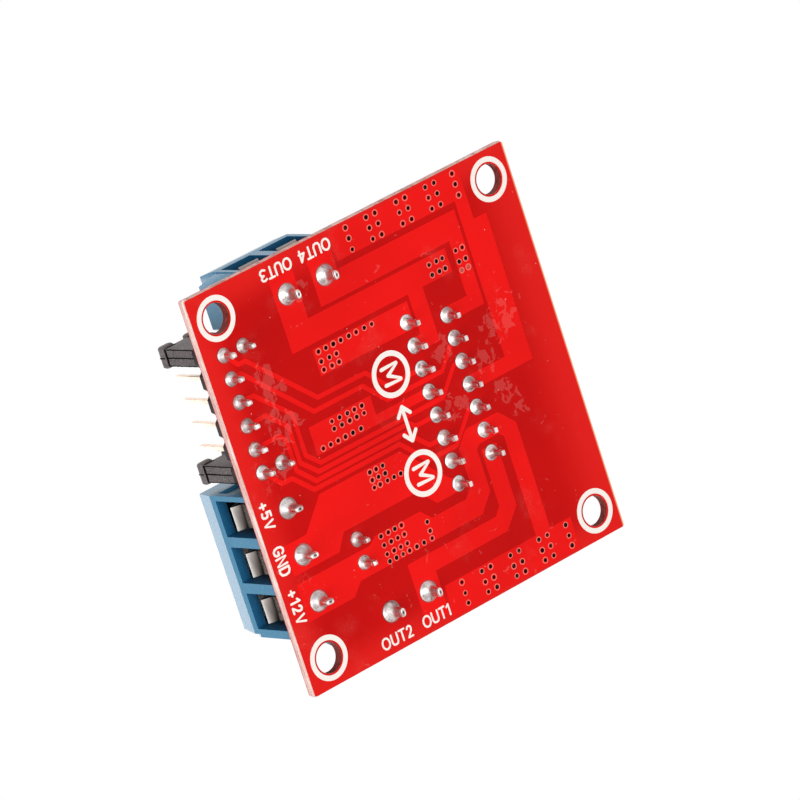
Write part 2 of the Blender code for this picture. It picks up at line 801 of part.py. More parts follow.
def chip_lead(spot):
    """One lead from inside the package, forward to its row and down through the board."""
    x, y = spot
    start = BOARD_THICK + CHIP_BOTTOM + LEAD_PITCH
    far = y == from_back(FAR_ROW_FROM_BACK)
    bend = BOARD_THICK + (FAR_BEND_HEIGHT if far else NEAR_BEND_HEIGHT)
    out = chip_front() + LEAD_EXIT_IN
    path = [(out, start), (out, bend), (y, bend), (y, -SEAT_GAP)]
    steps = [(Vector(b) - Vector(a)).normalized() for a, b in zip(path, path[1:])]
    section = eight_points(LEAD_WIDTH / 2, LEAD_THICK / 2)
    rings = []
    for i, point in enumerate(path):
        before = steps[max(i - 1, 0)]
        after = steps[min(i, len(steps) - 1)]
        across = Vector((-(before + after).y, (before + after).x)).normalized()
        across = across / across.dot(Vector((-after.y, after.x)))
        rings.append([(x + a, point[0] + across.x * b, point[1] + across.y * b) for a, b in section])
    tip = [(a * 0.7, b * 0.7) for a, b in section]
    lower = (
        (circle_points(LEAD_PAD_RADIUS, 8), -SEAT_GAP),
        (circle_points(LEAD_PAD_RADIUS * 0.75, 8), -LEAD_SOLDER_DEPTH * 0.5),
        (section, -LEAD_SOLDER_DEPTH),
        (tip, -PIN_REACH),
    )
    for points, height in lower:
        rings.append([(x + a, y + b, height) for a, b in points])
    return loft(rings)


def chip_front():
    """Front face of the moulded package."""
    return from_back(CHIP_FROM_BACK)


def tab_height():
    """The tab starts level with the package's bottom."""
    return CHIP_HEIGHT + TAB_ABOVE_BODY


def make_chip():
    """The upright driver chip: moulded body with its leads, and the metal tab behind it."""
    bottom = BOARD_THICK + CHIP_BOTTOM
    middle_y = chip_front() + CHIP_THICK * 0.55
    back_y = chip_front() + CHIP_THICK

    def face(draft, y):
        half = CHIP_WIDTH / 2 - draft
        low = bottom + draft
        high = bottom + CHIP_HEIGHT - draft
        corners = [(-half, low), (half, low), (half, high), (-half, high)]
        return [(CHIP_X + a, y, b) for a, b in corners]

    body = loft([face(CHIP_DRAFT, chip_front()), face(0.0, middle_y), face(0.0, back_y)])
    leads = gathered([chip_lead(spot) for spot in lead_spots()])
    piece("driver_chip_body", combined("driver_chip_body", body, [leads]), "epoxy_black")

    half = TAB_WIDTH / 2
    top = bottom + tab_height()
    outline = [
        (CHIP_X - half, bottom),
        (CHIP_X + half, bottom),
        (CHIP_X + half, top - TAB_CORNER),
        (CHIP_X + half - TAB_CORNER, top),
        (CHIP_X - half + TAB_CORNER, top),
        (CHIP_X - half, top - TAB_CORNER),
    ]
    front = back_y + SEAT_GAP
    plate = prism(outline, front, tab_back_y(), "Y")
    rim = circle_points(TAB_HOLE_DIAMETER / 2, 20, (CHIP_X, tab_hole_height()))
    hole = prism(rim, front - TAB_THICK, front + 2 * TAB_THICK, "Y")
    piece("driver_chip_tab", combined("driver_chip_tab", plate, cut=[hole]), "tinned")


def tab_back_y():
    """Rear face of the chip's tab."""
    return chip_front() + CHIP_THICK + SEAT_GAP + TAB_THICK


def tab_hole_height():
    """Height of the tab's hole above the solder face."""
    return BOARD_THICK + CHIP_BOTTOM + tab_height() - TAB_HOLE_BELOW_TOP


def make_heat_sink():
    """The finned extrusion behind the tab and the pan-head screw that pulls the tab to it."""
    front = tab_back_y() + SEAT_GAP
    half = SINK_WIDTH / 2
    tip = front + SINK_DEPTH
    floor = front + SINK_BASE
    boss = front + SINK_BOSS
    outer = half - FIN_THICK / 2
    right_fins = [*FIN_OFFSETS, outer]
    right = []
    for i, offset in enumerate(right_fins):
        inner_floor = boss if i == 0 else floor
        right += [
            (CHIP_X + offset - FIN_THICK / 2, inner_floor),
            (CHIP_X + offset - FIN_THICK / 2, tip),
            (CHIP_X + offset + FIN_THICK / 2, tip),
        ]
        if offset != outer:
            right.append((CHIP_X + offset + FIN_THICK / 2, floor))
    right.append((CHIP_X + half, front))
    left = [(2 * CHIP_X - x, y) for x, y in reversed(right)]
    low = BOARD_THICK + SINK_ABOVE_BOARD
    extrusion = prism(right + left, low, low + SINK_HEIGHT)
    rim = circle_points(SINK_BORE_DIAMETER / 2, 16, (CHIP_X, tab_hole_height()))
    bore = prism(rim, front - SINK_BASE, front + SINK_BORE_DEPTH, "Y")
    piece("heat_sink", combined("heat_sink", extrusion, cut=[bore]), "sink_black")

    shank = SINK_SCREW_DIAMETER / 2
    head = SINK_SCREW_HEAD_DIAMETER / 2
    tall = SINK_SCREW_HEAD_HEIGHT
    profile = [
        (shank * 0.7, -SINK_SCREW_LENGTH),
        (shank, -SINK_SCREW_LENGTH + shank * 0.5),
        (shank, 0.0),
        (head, 0.0),
        (head, tall * 0.4),
        (head * 0.85, tall * 0.82),
        (head * 0.5, tall),
    ]
    arm = CROSS_LENGTH / 2
    wide = CROSS_WIDTH / 2
    floor_of_cross = tall - CROSS_DEPTH
    across = box((-arm, -wide, floor_of_cross), (arm, wide, 2 * tall))
    down = box((-wide, -arm, floor_of_cross), (wide, arm, 2 * tall))
    mesh = combined("heat_sink_screw", turned(profile, 20), cut=[across, down])
    screw = piece("heat_sink_screw", mesh, "nickel",
                  (CHIP_X, chip_front() + CHIP_THICK, tab_hole_height()), smooth=True)
    screw.rotation_euler = (math.pi / 2, 0.0, 0.0)


def capacitor_spots():
    """The two cans, either side of the regulator."""
    half = CAPACITOR_APART / 2
    left = (-half, from_front(LEFT_CAPACITOR_FROM_FRONT))
    right = (half, from_front(RIGHT_CAPACITOR_FROM_FRONT))
    return left, right


def make_capacitors():
    """Two canned capacitors, each crimped on a moulded foot with two cut corners."""
    radius = CAN_RADIUS
    low = CAN_BASE_HEIGHT + SEAT_GAP
    crimp = low + CAN_CRIMP_HEIGHT
    profile = [
        (radius - CAN_CRIMP_DEPTH, low),
        (radius, low + CAN_CRIMP_DEPTH),
        (radius, crimp - CAN_CRIMP_DEPTH),
        (radius - CAN_CRIMP_DEPTH, crimp),
        (radius, crimp + CAN_CRIMP_DEPTH),
        (radius, CAN_HEIGHT - CAN_EDGE),
        (radius - CAN_EDGE * 0.3, CAN_HEIGHT - CAN_EDGE * 0.3),
        (radius - CAN_EDGE, CAN_HEIGHT),
    ]
    can = mesh_of("capacitor_can", turned(profile, 20))
    half = CAN_BASE_SIDE / 2
    outline = [
        (-half, -half),
        (half, -half),
        (half, half - CAN_BASE_CORNER),
        (half - CAN_BASE_CORNER, half),
        (CAN_BASE_CORNER - half, half),
        (-half, half - CAN_BASE_CORNER),
    ]
    foot = mesh_of("capacitor_base", prism(outline, SEAT_GAP, CAN_BASE_HEIGHT))
    for i, (x, y) in enumerate(capacitor_spots(), 1):
        piece(f"capacitor_can_{i}", can, "can_aluminium", (x, y, BOARD_THICK), smooth=True)
        piece(f"capacitor_base_{i}", foot, "header_black", (x, y, BOARD_THICK))


def drafted_block(length, width, low, high, draft):
    """A moulded package whose sides slope both ways from the parting line."""
    middle = (low + high) / 2
    rings = []
    for inset, height in ((draft, low), (0.0, middle), (draft, high)):
        a = length / 2 - inset
        b = width / 2 - inset
        rings.append(level([(-a, -b), (a, -b), (a, b), (-a, b)], height))
    return loft(rings)


def make_regulator():
    """A flat power package: soldered tab at the back, two bent leads in front."""
    half_length = REGULATOR_LENGTH / 2
    metal = REGULATOR_METAL
    body = drafted_block(REGULATOR_WIDTH, REGULATOR_LENGTH, metal / 2, REGULATOR_HEIGHT, metal / 2)
    tab_half = REGULATOR_TAB_WIDTH / 2
    tab = box(
        (-tab_half, -half_length * 0.5, SEAT_GAP),
        (tab_half, half_length + REGULATOR_TAB_LENGTH, metal),
    )
    end = half_length + REGULATOR_LEAD_LENGTH
    path = [
        (-half_length * 0.6, metal * 2),
        (-half_length - metal * 1.6, metal * 2),
        (-half_length - metal * 2.4, metal / 2 + SEAT_GAP),
        (-end, metal / 2 + SEAT_GAP),
    ]
    profile = band(path, metal * 0.9)
    leads = []
    for side in (-1, 1):
        middle = side * REGULATOR_LEAD_OFFSET
        half = REGULATOR_LEAD_WIDTH / 2
        leads.append(prism(profile, middle - half, middle + half, "X"))
    mesh = combined("regulator", body, [tab, gathered(leads)])
    piece("regulator", mesh, "epoxy_black", (0.0, from_front(REGULATOR_FROM_FRONT), BOARD_THICK))


def make_diodes():
    """Moulded diodes on folded straps, along X, in a row at each side of the board."""
    body = drafted_block(DIODE_LENGTH, DIODE_WIDTH, DIODE_STRAP_THICK * 0.8, DIODE_HEIGHT, DIODE_DRAFT)
    out = DIODE_SPAN / 2
    thick = DIODE_STRAP_THICK
    toe = out - DIODE_STRAP_HEIGHT * 0.75
    high = DIODE_STRAP_HEIGHT
    right = [
        (out - thick, high - thick),
        (out - thick, thick + SEAT_GAP),
        (toe, thick + SEAT_GAP),
        (toe, SEAT_GAP),
        (out, SEAT_GAP),
        (out, high),
    ]
    left = [(-a, b) for a, b in reversed(right)]
    strap = prism(right + left, -DIODE_STRAP_WIDTH / 2, DIODE_STRAP_WIDTH / 2, "Y")
    mesh = combined("diode", body, [strap])
    for i in range(2 * DIODES_A_SIDE):
        side = 1 if i < DIODES_A_SIDE else -1
        along = from_back(DIODE_FROM_BACK) - (i % DIODES_A_SIDE) * DIODE_STEP
        place = (side * from_side(DIODE_FROM_SIDE), along, BOARD_THICK)
        piece(f"diode_{i + 1}", mesh, "epoxy_black", place)


def make_lamp():
    """The small power lamp soldered flat on the board."""
    length, width, height = SMALL_LENGTH, SMALL_WIDTH, LAMP_HEIGHT
    ends = level(cut_corner_points(length / 2, width / 2, width / 8), SEAT_GAP)
    lens = cut_corner_points(length * 0.3, width / 2 - width / 8, width / 8)
    rings = [
        ends,
        level(cut_corner_points(length / 2, width / 2, width / 8), height * 0.4),
        level(lens, height * 0.5),
        level(lens, height),
    ]
    mesh = mesh_of("power_lamp", loft(rings))
    place = (LAMP_ACROSS, from_front(SMALL_ROW_FROM_FRONT), BOARD_THICK)
    piece("power_lamp", mesh, "lamp_red", place)


def main():
    """Build the module piece by piece."""
    clear_scene()
    make_board()
    make_headers()
    make_terminals()
    make_chip()
    make_heat_sink()
    make_capacitors()
    make_regulator()
    make_diodes()
    make_lamp()


main()
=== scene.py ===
import json
import math
import random

import bmesh
import bpy
from bpy.props import FloatProperty, FloatVectorProperty, PointerProperty
from mathutils import Matrix, Vector, noise

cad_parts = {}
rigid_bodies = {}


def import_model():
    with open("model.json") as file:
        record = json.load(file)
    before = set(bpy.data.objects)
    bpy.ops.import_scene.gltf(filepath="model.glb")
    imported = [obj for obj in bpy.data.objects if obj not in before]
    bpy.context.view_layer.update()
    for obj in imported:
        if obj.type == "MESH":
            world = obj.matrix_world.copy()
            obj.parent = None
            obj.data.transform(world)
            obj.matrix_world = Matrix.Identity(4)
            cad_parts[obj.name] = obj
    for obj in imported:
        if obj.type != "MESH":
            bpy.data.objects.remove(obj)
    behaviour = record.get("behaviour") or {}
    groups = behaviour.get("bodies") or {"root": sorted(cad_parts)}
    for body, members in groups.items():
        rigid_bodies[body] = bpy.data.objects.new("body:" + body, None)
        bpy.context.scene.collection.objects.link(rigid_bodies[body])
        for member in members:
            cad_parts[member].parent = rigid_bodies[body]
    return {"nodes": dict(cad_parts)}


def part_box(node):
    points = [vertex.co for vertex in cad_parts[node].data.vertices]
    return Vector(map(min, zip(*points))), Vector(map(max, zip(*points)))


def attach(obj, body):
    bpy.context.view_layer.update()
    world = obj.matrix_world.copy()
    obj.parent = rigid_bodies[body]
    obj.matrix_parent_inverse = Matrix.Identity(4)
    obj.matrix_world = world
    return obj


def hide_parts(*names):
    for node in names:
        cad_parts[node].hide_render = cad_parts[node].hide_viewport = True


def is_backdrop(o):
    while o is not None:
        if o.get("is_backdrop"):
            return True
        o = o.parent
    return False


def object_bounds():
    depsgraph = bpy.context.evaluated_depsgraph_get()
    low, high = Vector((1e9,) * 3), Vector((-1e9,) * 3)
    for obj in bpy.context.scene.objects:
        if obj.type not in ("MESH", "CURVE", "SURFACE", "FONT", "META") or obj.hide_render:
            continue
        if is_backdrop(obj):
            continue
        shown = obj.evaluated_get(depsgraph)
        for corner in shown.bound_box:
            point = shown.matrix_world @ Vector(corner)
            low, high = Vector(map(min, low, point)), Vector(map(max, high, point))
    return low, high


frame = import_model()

bl_info = {
    "name": "DC motor driver module",
    "version": (1, 0, 0),
    "blender": (4, 5, 0),
    "location": "View3D > Sidebar > Driver module",
    "description": "Dresses the module's frame with copper, print, solder and moulded plastic",
    "category": "Object",
}

# The board: half its side, its thickness, and how deep what coats it reaches into it
MM = 0.001
HALF = 21.5
THICK = 1.0
SKIN = 0.02

# How far the coats stand out of the bare laminate
MASK = 0.01
COPPER = 0.035
PRINT = 0.046
PRINT_ABOVE = 0.045

# Screw holes: their distance from the middle, their radius, and the printed rings round them
FIXING = 18.5
HOLE = 1.6
HOLE_SIDES = 48
RING = (1.8, 2.35)
RING_SIDES = 56

# Leads and joints: below LEAD_CUT a lead is dressed together with its joint
LEAD_CUT = 0.5
JOINT_SIDES = 36
EASED_PARTS = 3
PITCH = 2.54
CHIP_PITCH = 1.27
PIN_COUNT = 6
DIODE_COUNT = 8

# The driver chip's package, above its leads, and the middles of the chip resistors
PACKAGE_FOOT = 4.62
RESISTORS = (-4.6, -1.2, 6.2)

# Terminal housings: how far out the wire face lies, the height above which it leans back, its lean,
# and the thickness of the walls round the windows
WIRE_FACE = 20.9
WIRE_FACE_TOP = 7.86
WIRE_FACE_LEAN = 0.24
WINDOW_WALL = 0.42

# Cages: how far out their lips reach, the height of a lip's top, the slope of its curl, and how far
# along the curl the fold lies
LIP_REACH = 20.85
LIP_TOP = 5.0
LIP_SLOPE = 1.25
LIP_FOLD = 2.0

# Capacitors: how far out their middles lie, where the dark segment begins, and below which height
CAN_PLACE = 8.55
SEGMENT = 1.9
SEGMENT_HEIGHT = 10.5

# Jumper caps: half the width and half the length of their body, over the collars and of the bore,
# and the length of one collar
CAP_SIDE = 0.95
CAP_END = 2.27
COLLAR_SIDE = 1.15
COLLAR_END = 2.47
BORE_SIDE = 0.45
BORE_END = 1.85
COLLAR = 1.65

# The two-motor symbol: the u of both signs, their two places v, the radius of their rings, how far
# the arrow between them starts from each, and the width and length of its barbs
SIGNS = (20.95, 16.6, 27.5)
SIGN = 2.15
ARROW_START = 3.6
BARB = (0.8, 0.9)

# Printed frames round parts: their distance from the part and the board's edge, and their line
FRAME_GAP = 0.3
FRAME_MARGIN = 0.2
FRAME_LINE = 0.18

# Sections of a via's rim, of its open bore and of its solder plug, for a via one wide
VIA_RIM = [(0.37, -0.037), (0.4, -0.048), (0.46, -0.048), (0.5, -0.037), (0.5, -SKIN), (0.37, -SKIN)]
VIA_BORE = [(0.31, -SKIN), (0.31, -0.0415), (0.25, -0.0395), (0.06, -0.0385)]
VIA_PLUG = [(0.33, -SKIN), (0.33, -0.042), (0.24, -0.045), (0.06, -0.046)]

# Outlines and edges: steps of round corners and tips, and the angles from which edges are treated
CORNER_STEP = 0.45
TIP_POINTS = 5
ROUNDED_FROM = math.radians(30)
SHARP_FROM = math.radians(38)
SHALLOWEST_FOLD = math.radians(9)
STEEPEST_FOLD = math.radians(20)
FLAT = math.radians(0.5)
TORN_LIMIT = 0.115

# Spots of the drilled leads, in millimetres from the middle of the board
CONTROL_SPOTS = [(14.73 - PITCH * i, -19.05) for i in range(PIN_COUNT)]
ENABLE_SPOTS = [(14.73, -16.51), (2.03, -16.51)]
SUPPLY_SPOTS = [(-11.395, -10.8), (-8.855, -10.8)]
POWER_SPOTS = [(-12.66, -17.5), (-7.58, -17.5), (-2.5, -17.5)]
LEFT_SPOTS = [(-17.4, -4.46), (-17.4, -9.54)]
RIGHT_SPOTS = [(17.4, -9.54), (17.4, -4.46)]
CHIP_SPOTS = [(0.1 + CHIP_PITCH * (7 - i), 3.25 if i % 2 == 0 else 8.3) for i in range(15)]
HEADER_SPOTS = CONTROL_SPOTS + ENABLE_SPOTS + SUPPLY_SPOTS
TERMINALS = {"power": POWER_SPOTS, "left": LEFT_SPOTS, "right": RIGHT_SPOTS}
FIXING_SPOTS = [(x, y) for x in (-FIXING, FIXING) for y in (-FIXING, FIXING)]

# Frame nodes that share a dressing
HEADER_PINS = [*(f"control_header_pin_{i + 1}" for i in range(PIN_COUNT)),
               *(f"{header}_header_pin_{i}" for header in ("enable", "supply") for i in (1, 2))]
JUMPERS = ["enable_jumper_1", "enable_jumper_2", "supply_jumper"]
DIODES = [f"diode_{i + 1}" for i in range(DIODE_COUNT)]
ON_BOARD = {"slot": "board_red", "nodes": ["circuit_board"]}

# Copper under the mask of the solder face, each shape as corners (u, v) in millimetres:
# u runs from the front edge to the heat sink, v from the right edge to the left
POURS = {
    "third_output": [
        (10.35, 2.0), (13.5, 2.0), (13.5, 7.35), (32.1, 7.35), (32.1, 9.95), (28.0, 9.95),
        (28.0, 15.85), (24.2, 15.85), (24.2, 14.3), (26.0, 14.3), (26.0, 9.95), (10.35, 9.95),
    ],
    "fourth_output": [
        (15.45, 2.0), (18.7, 2.0), (18.7, 4.15), (34.7, 4.15), (34.7, 14.55), (29.2, 14.55),
        (29.2, 12.95), (32.9, 12.95), (32.9, 6.95), (15.45, 6.95),
    ],
    "motor_supply": [
        (19.1, 0.3), (36.7, 0.3), (36.7, 6.0), (38.4, 6.0), (38.4, 22.2), (29.2, 22.2),
        (29.2, 20.6), (35.1, 20.6), (35.1, 3.45), (19.1, 3.45),
    ],
    "first_sense": [(12.8, 10.5), (25.6, 10.5), (25.6, 13.4), (12.8, 13.4)],
    "middle_ground": [
        (9.4, 17.55), (17.7, 17.55), (17.7, 19.65), (25.3, 19.65), (25.3, 20.65), (9.4, 20.65),
    ],
    "ground": [
        (2.1, 27.35), (5.1, 27.35), (8.1, 24.25), (19.0, 24.25), (24.0, 29.4), (25.3, 29.7),
        (25.3, 30.9), (24.0, 31.05), (21.5, 31.05), (19.5, 29.0), (9.5, 29.0), (8.2, 30.7),
        (2.1, 30.7),
    ],
    "twelve_volts": [
        (2.1, 31.6), (12.0, 31.6), (12.9, 30.95), (19.1, 30.95), (20.3, 32.15), (25.0, 32.15),
        (26.1, 31.1), (26.1, 27.1), (27.6, 25.5), (32.1, 25.5), (33.95, 27.4), (33.95, 39.25),
        (36.8, 39.25), (36.8, 42.7), (19.15, 42.7), (19.15, 39.25), (31.95, 39.25),
        (31.95, 28.1), (31.4, 27.6), (28.7, 27.6), (28.2, 28.0), (28.2, 32.6), (26.4, 34.45),
        (9.6, 34.45), (8.3, 35.7), (2.1, 35.7),
    ],
    "first_output": [
        (15.6, 35.35), (27.9, 35.35), (28.7, 34.5), (28.7, 28.3), (30.8, 28.3), (30.8, 35.3),
        (28.7, 37.35), (18.7, 37.35), (18.7, 42.0), (15.6, 42.0),
    ],
}
POURS_ABOVE = [
    [(1.0, 8.0), (15.0, 8.0), (20.0, 12.0), (37.0, 12.0), (37.0, 2.0), (33.0, 2.0), (33.0, 10.0),
     (21.0, 10.0), (16.0, 6.0), (1.0, 6.0)],
    [(2.0, 25.0), (18.0, 25.0), (23.0, 30.0), (37.0, 30.0), (37.0, 40.0), (20.0, 40.0),
     (16.0, 34.0), (2.0, 34.0)],
    [(24.0, 14.0), (41.5, 14.0), (41.5, 28.0), (24.0, 28.0)],
    [(7.0, 36.0), (14.0, 36.0), (14.0, 42.0), (7.0, 42.0)],
]
TRACES = [
    [(2.45, 6.77), (3.8, 8.3), (4.7, 8.3), (11.6, 15.17), (18.0, 15.2), (20.2, 17.55), (24.75, 17.6)],
    [(2.45, 9.31), (3.7, 9.25), (10.65, 16.3), (17.2, 16.3), (19.6, 18.85), (27.1, 18.85),
     (28.9, 17.0), (29.75, 16.3)],
    [(2.45, 11.85), (4.3, 11.9), (8.05, 15.45), (8.05, 20.0), (9.5, 21.37), (26.2, 21.37),
     (28.7, 18.85), (29.75, 18.85)],
    [(2.45, 14.39), (5.0, 14.33), (7.12, 16.45), (7.12, 20.4), (8.95, 22.13), (21.2, 22.1),
     (21.9, 22.7), (24.75, 22.7)],
    [(2.45, 16.93), (5.75, 16.88), (6.4, 17.6), (6.4, 20.95), (8.3, 22.87), (20.4, 22.87),
     (22.8, 25.2), (24.75, 25.2)],
    [(2.45, 19.47), (4.3, 21.45), (5.6, 21.45), (7.75, 23.6), (19.3, 23.6), (22.2, 26.58),
     (26.0, 26.58), (28.7, 23.85), (29.75, 23.95)],
]
VIA_ROWS = [
    ((0.7, 1.85, 3.05), (21.2, 24.0, 25.2, 28.1, 29.3, 32.1, 33.3, 35.8)),
    ((39.8, 41.0, 42.1), (21.3, 24.1, 25.3, 28.1, 29.3, 32.1, 33.3, 35.9)),
    ((8.2, 9.3), (29.6, 30.6, 31.4)),
    ((8.15, 9.35), (33.3, 34.2)),
    ((10.95,), (13.4, 14.4, 15.4, 16.4, 17.5, 18.5, 19.6, 20.6)),
    ((12.0, 12.9), (13.35, 14.45, 15.4)),
    ((18.1, 18.9), (12.3, 13.35, 14.4, 15.35, 16.35)),
    ((20.2,), (10.3, 11.3, 12.3, 13.3, 14.3, 15.4)),
    ((24.75, 25.6), (14.75, 15.6, 16.5)),
    ((26.4,), (14.7, 15.5, 16.5, 17.4, 18.3)),
    ((31.3,), (13.6, 14.6, 15.5, 16.4)),
    ((32.3, 33.3), (13.65, 14.6, 15.5, 16.4, 19.55)),
    ((34.1,), (13.7, 14.6, 15.5, 16.4, 17.4, 18.4, 19.5)),
]
FILLED_VIAS = [(33.3, 10.3), (34.2, 10.3)]

# Strokes of the printed characters, in a box one high, with each character's width
STROKES = {
    "+": (0.5, [[(0.0, 0.4), (0.5, 0.4)], [(0.25, 0.08), (0.25, 0.72)]]),
    "V": (0.68, [[(0.0, 1.0), (0.34, 0.0), (0.68, 1.0)]]),
    "5": (0.5, [[(0.48, 1.0), (0.06, 1.0), (0.02, 0.56), (0.26, 0.64), (0.45, 0.54), (0.5, 0.33),
                 (0.43, 0.09), (0.24, 0.0), (0.0, 0.08)]]),
    "G": (0.64, [[(0.62, 0.8), (0.49, 0.97), (0.27, 1.0), (0.07, 0.83), (0.0, 0.5), (0.07, 0.17),
                  (0.27, 0.0), (0.52, 0.03), (0.64, 0.2), (0.64, 0.45), (0.38, 0.45)]]),
    "N": (0.6, [[(0.0, 0.0), (0.0, 1.0), (0.6, 0.0), (0.6, 1.0)]]),
    "D": (0.6, [[(0.3, 0.0), (0.0, 0.0), (0.0, 1.0), (0.3, 1.0)],
                [(0.3, 1.0), (0.53, 0.85), (0.6, 0.5), (0.53, 0.15), (0.3, 0.0)]]),
    "1": (0.26, [[(0.0, 0.78), (0.24, 1.0), (0.24, 0.0)]]),
    "2": (0.52, [[(0.03, 0.78), (0.12, 0.95), (0.28, 1.0), (0.46, 0.9), (0.49, 0.68), (0.42, 0.48),
                  (0.02, 0.0), (0.52, 0.0)]]),
    "3": (0.6, [[(0.03, 0.9), (0.25, 1.0), (0.48, 0.95), (0.57, 0.78), (0.48, 0.6), (0.25, 0.54)],
                [(0.25, 0.54), (0.5, 0.48), (0.6, 0.27), (0.5, 0.07), (0.28, 0.0), (0.0, 0.1)]]),
    "4": (0.6, [[(0.46, 0.0), (0.46, 1.0)], [(0.46, 1.0), (0.0, 0.3), (0.6, 0.3)]]),
    "O": (0.82, [[(0.41, 0.0), (0.2, 0.06), (0.05, 0.25), (0.0, 0.5), (0.05, 0.75), (0.2, 0.94),
                  (0.41, 1.0)],
                 [(0.41, 1.0), (0.62, 0.94), (0.77, 0.75), (0.82, 0.5), (0.77, 0.25), (0.62, 0.06),
                  (0.41, 0.0)]]),
    "U": (0.66, [[(0.0, 1.0), (0.0, 0.28), (0.1, 0.06), (0.33, 0.0), (0.56, 0.06), (0.66, 0.28),
                  (0.66, 1.0)]]),
    "T": (0.6, [[(0.0, 1.0), (0.6, 1.0)], [(0.3, 1.0), (0.3, 0.0)]]),
    "M": (0.86, [[(0.0, 0.0), (0.0, 1.0), (0.43, 0.3), (0.86, 1.0), (0.86, 0.0)]]),
}
# Each legend: its words, the two ends of its base line (u, v), the way its tops point, the height
# of its characters and its share of the full stroke width
LEGENDS = [
    ("+5V", (0.72, 22.33), (0.72, 25.02), (1.0, 0.0), 1.1, 1.0),
    ("GND", (0.67, 27.15), (0.67, 30.08), (1.0, 0.0), 1.2, 1.0),
    ("+12V", (0.72, 31.87), (0.72, 35.35), (1.0, 0.0), 1.1, 1.0),
    ("OUT3", (13.57, 0.73), (9.6, 0.73), (0.0, 1.0), 1.14, 0.92),
    ("OUT4", (18.75, 0.73), (14.75, 0.73), (0.0, 1.0), 1.14, 0.92),
    ("OUT2", (9.65, 42.25), (13.6, 42.25), (0.0, -1.0), 1.14, 0.84),
    ("OUT1", (15.25, 42.25), (18.8, 42.25), (0.0, -1.0), 1.14, 0.84),
]


def tint(red, green, blue):
    """A colour written from 0 to 255 as the eye sees it, as the linear values that shaders take."""
    def linear(value):
        value = value / 255
        return value / 12.92 if value <= 0.04045 else ((value + 0.055) / 1.055) ** 2.4
    return (linear(red), linear(green), linear(blue), 1.0)


def mixed(first, second, share):
    return tuple(a + (b - a) * share for a, b in zip(first, second))


# Materials

def add_node(tree, kind, settings=None, inputs=None):
    """Adds a node. An input is a value, or the socket that it takes its value from."""
    made = tree.nodes.new(kind)
    for name, value in (settings or {}).items():
        setattr(made, name, value)
    for name, value in (inputs or {}).items():
        if isinstance(value, bpy.types.NodeSocket):
            tree.links.new(value, made.inputs[name])
        else:
            made.inputs[name].default_value = value
    return made


class Value:
    """A socket of a paint's nodes. An expression on values adds the nodes that work it out."""

    def __init__(self, paint, socket):
        self.paint = paint
        self.socket = socket

    def maths(self, operation, *terms):
        return self.paint.node("ShaderNodeMath", {"operation": operation}, dict(enumerate(terms)))

    def __add__(self, other):
        return self.maths("ADD", self, other)

    __radd__ = __add__

    def __sub__(self, other):
        return self.maths("SUBTRACT", self, other)

    def __rsub__(self, other):
        return self.maths("SUBTRACT", other, self)

    def __mul__(self, other):
        return self.maths("MULTIPLY", self, other)

    def __truediv__(self, other):
        return self.maths("DIVIDE", self, other)

    def __pow__(self, other):
        return self.maths("POWER", self, other)

    def __abs__(self):
        return self.maths("ABSOLUTE", self)

    def least(self, other):
        return self.maths("MINIMUM", self, other)

    def most(self, other):
        return self.maths("MAXIMUM", self, other)

    def step(self, start, end):
        """Rises smoothly from 0 to 1 while the value goes from start to end."""
        settings = {"interpolation_type": "SMOOTHSTEP"}
        inputs = {"Value": self, "From Min": start, "From Max": end}
        return self.paint.node("ShaderNodeMapRange", settings, inputs)


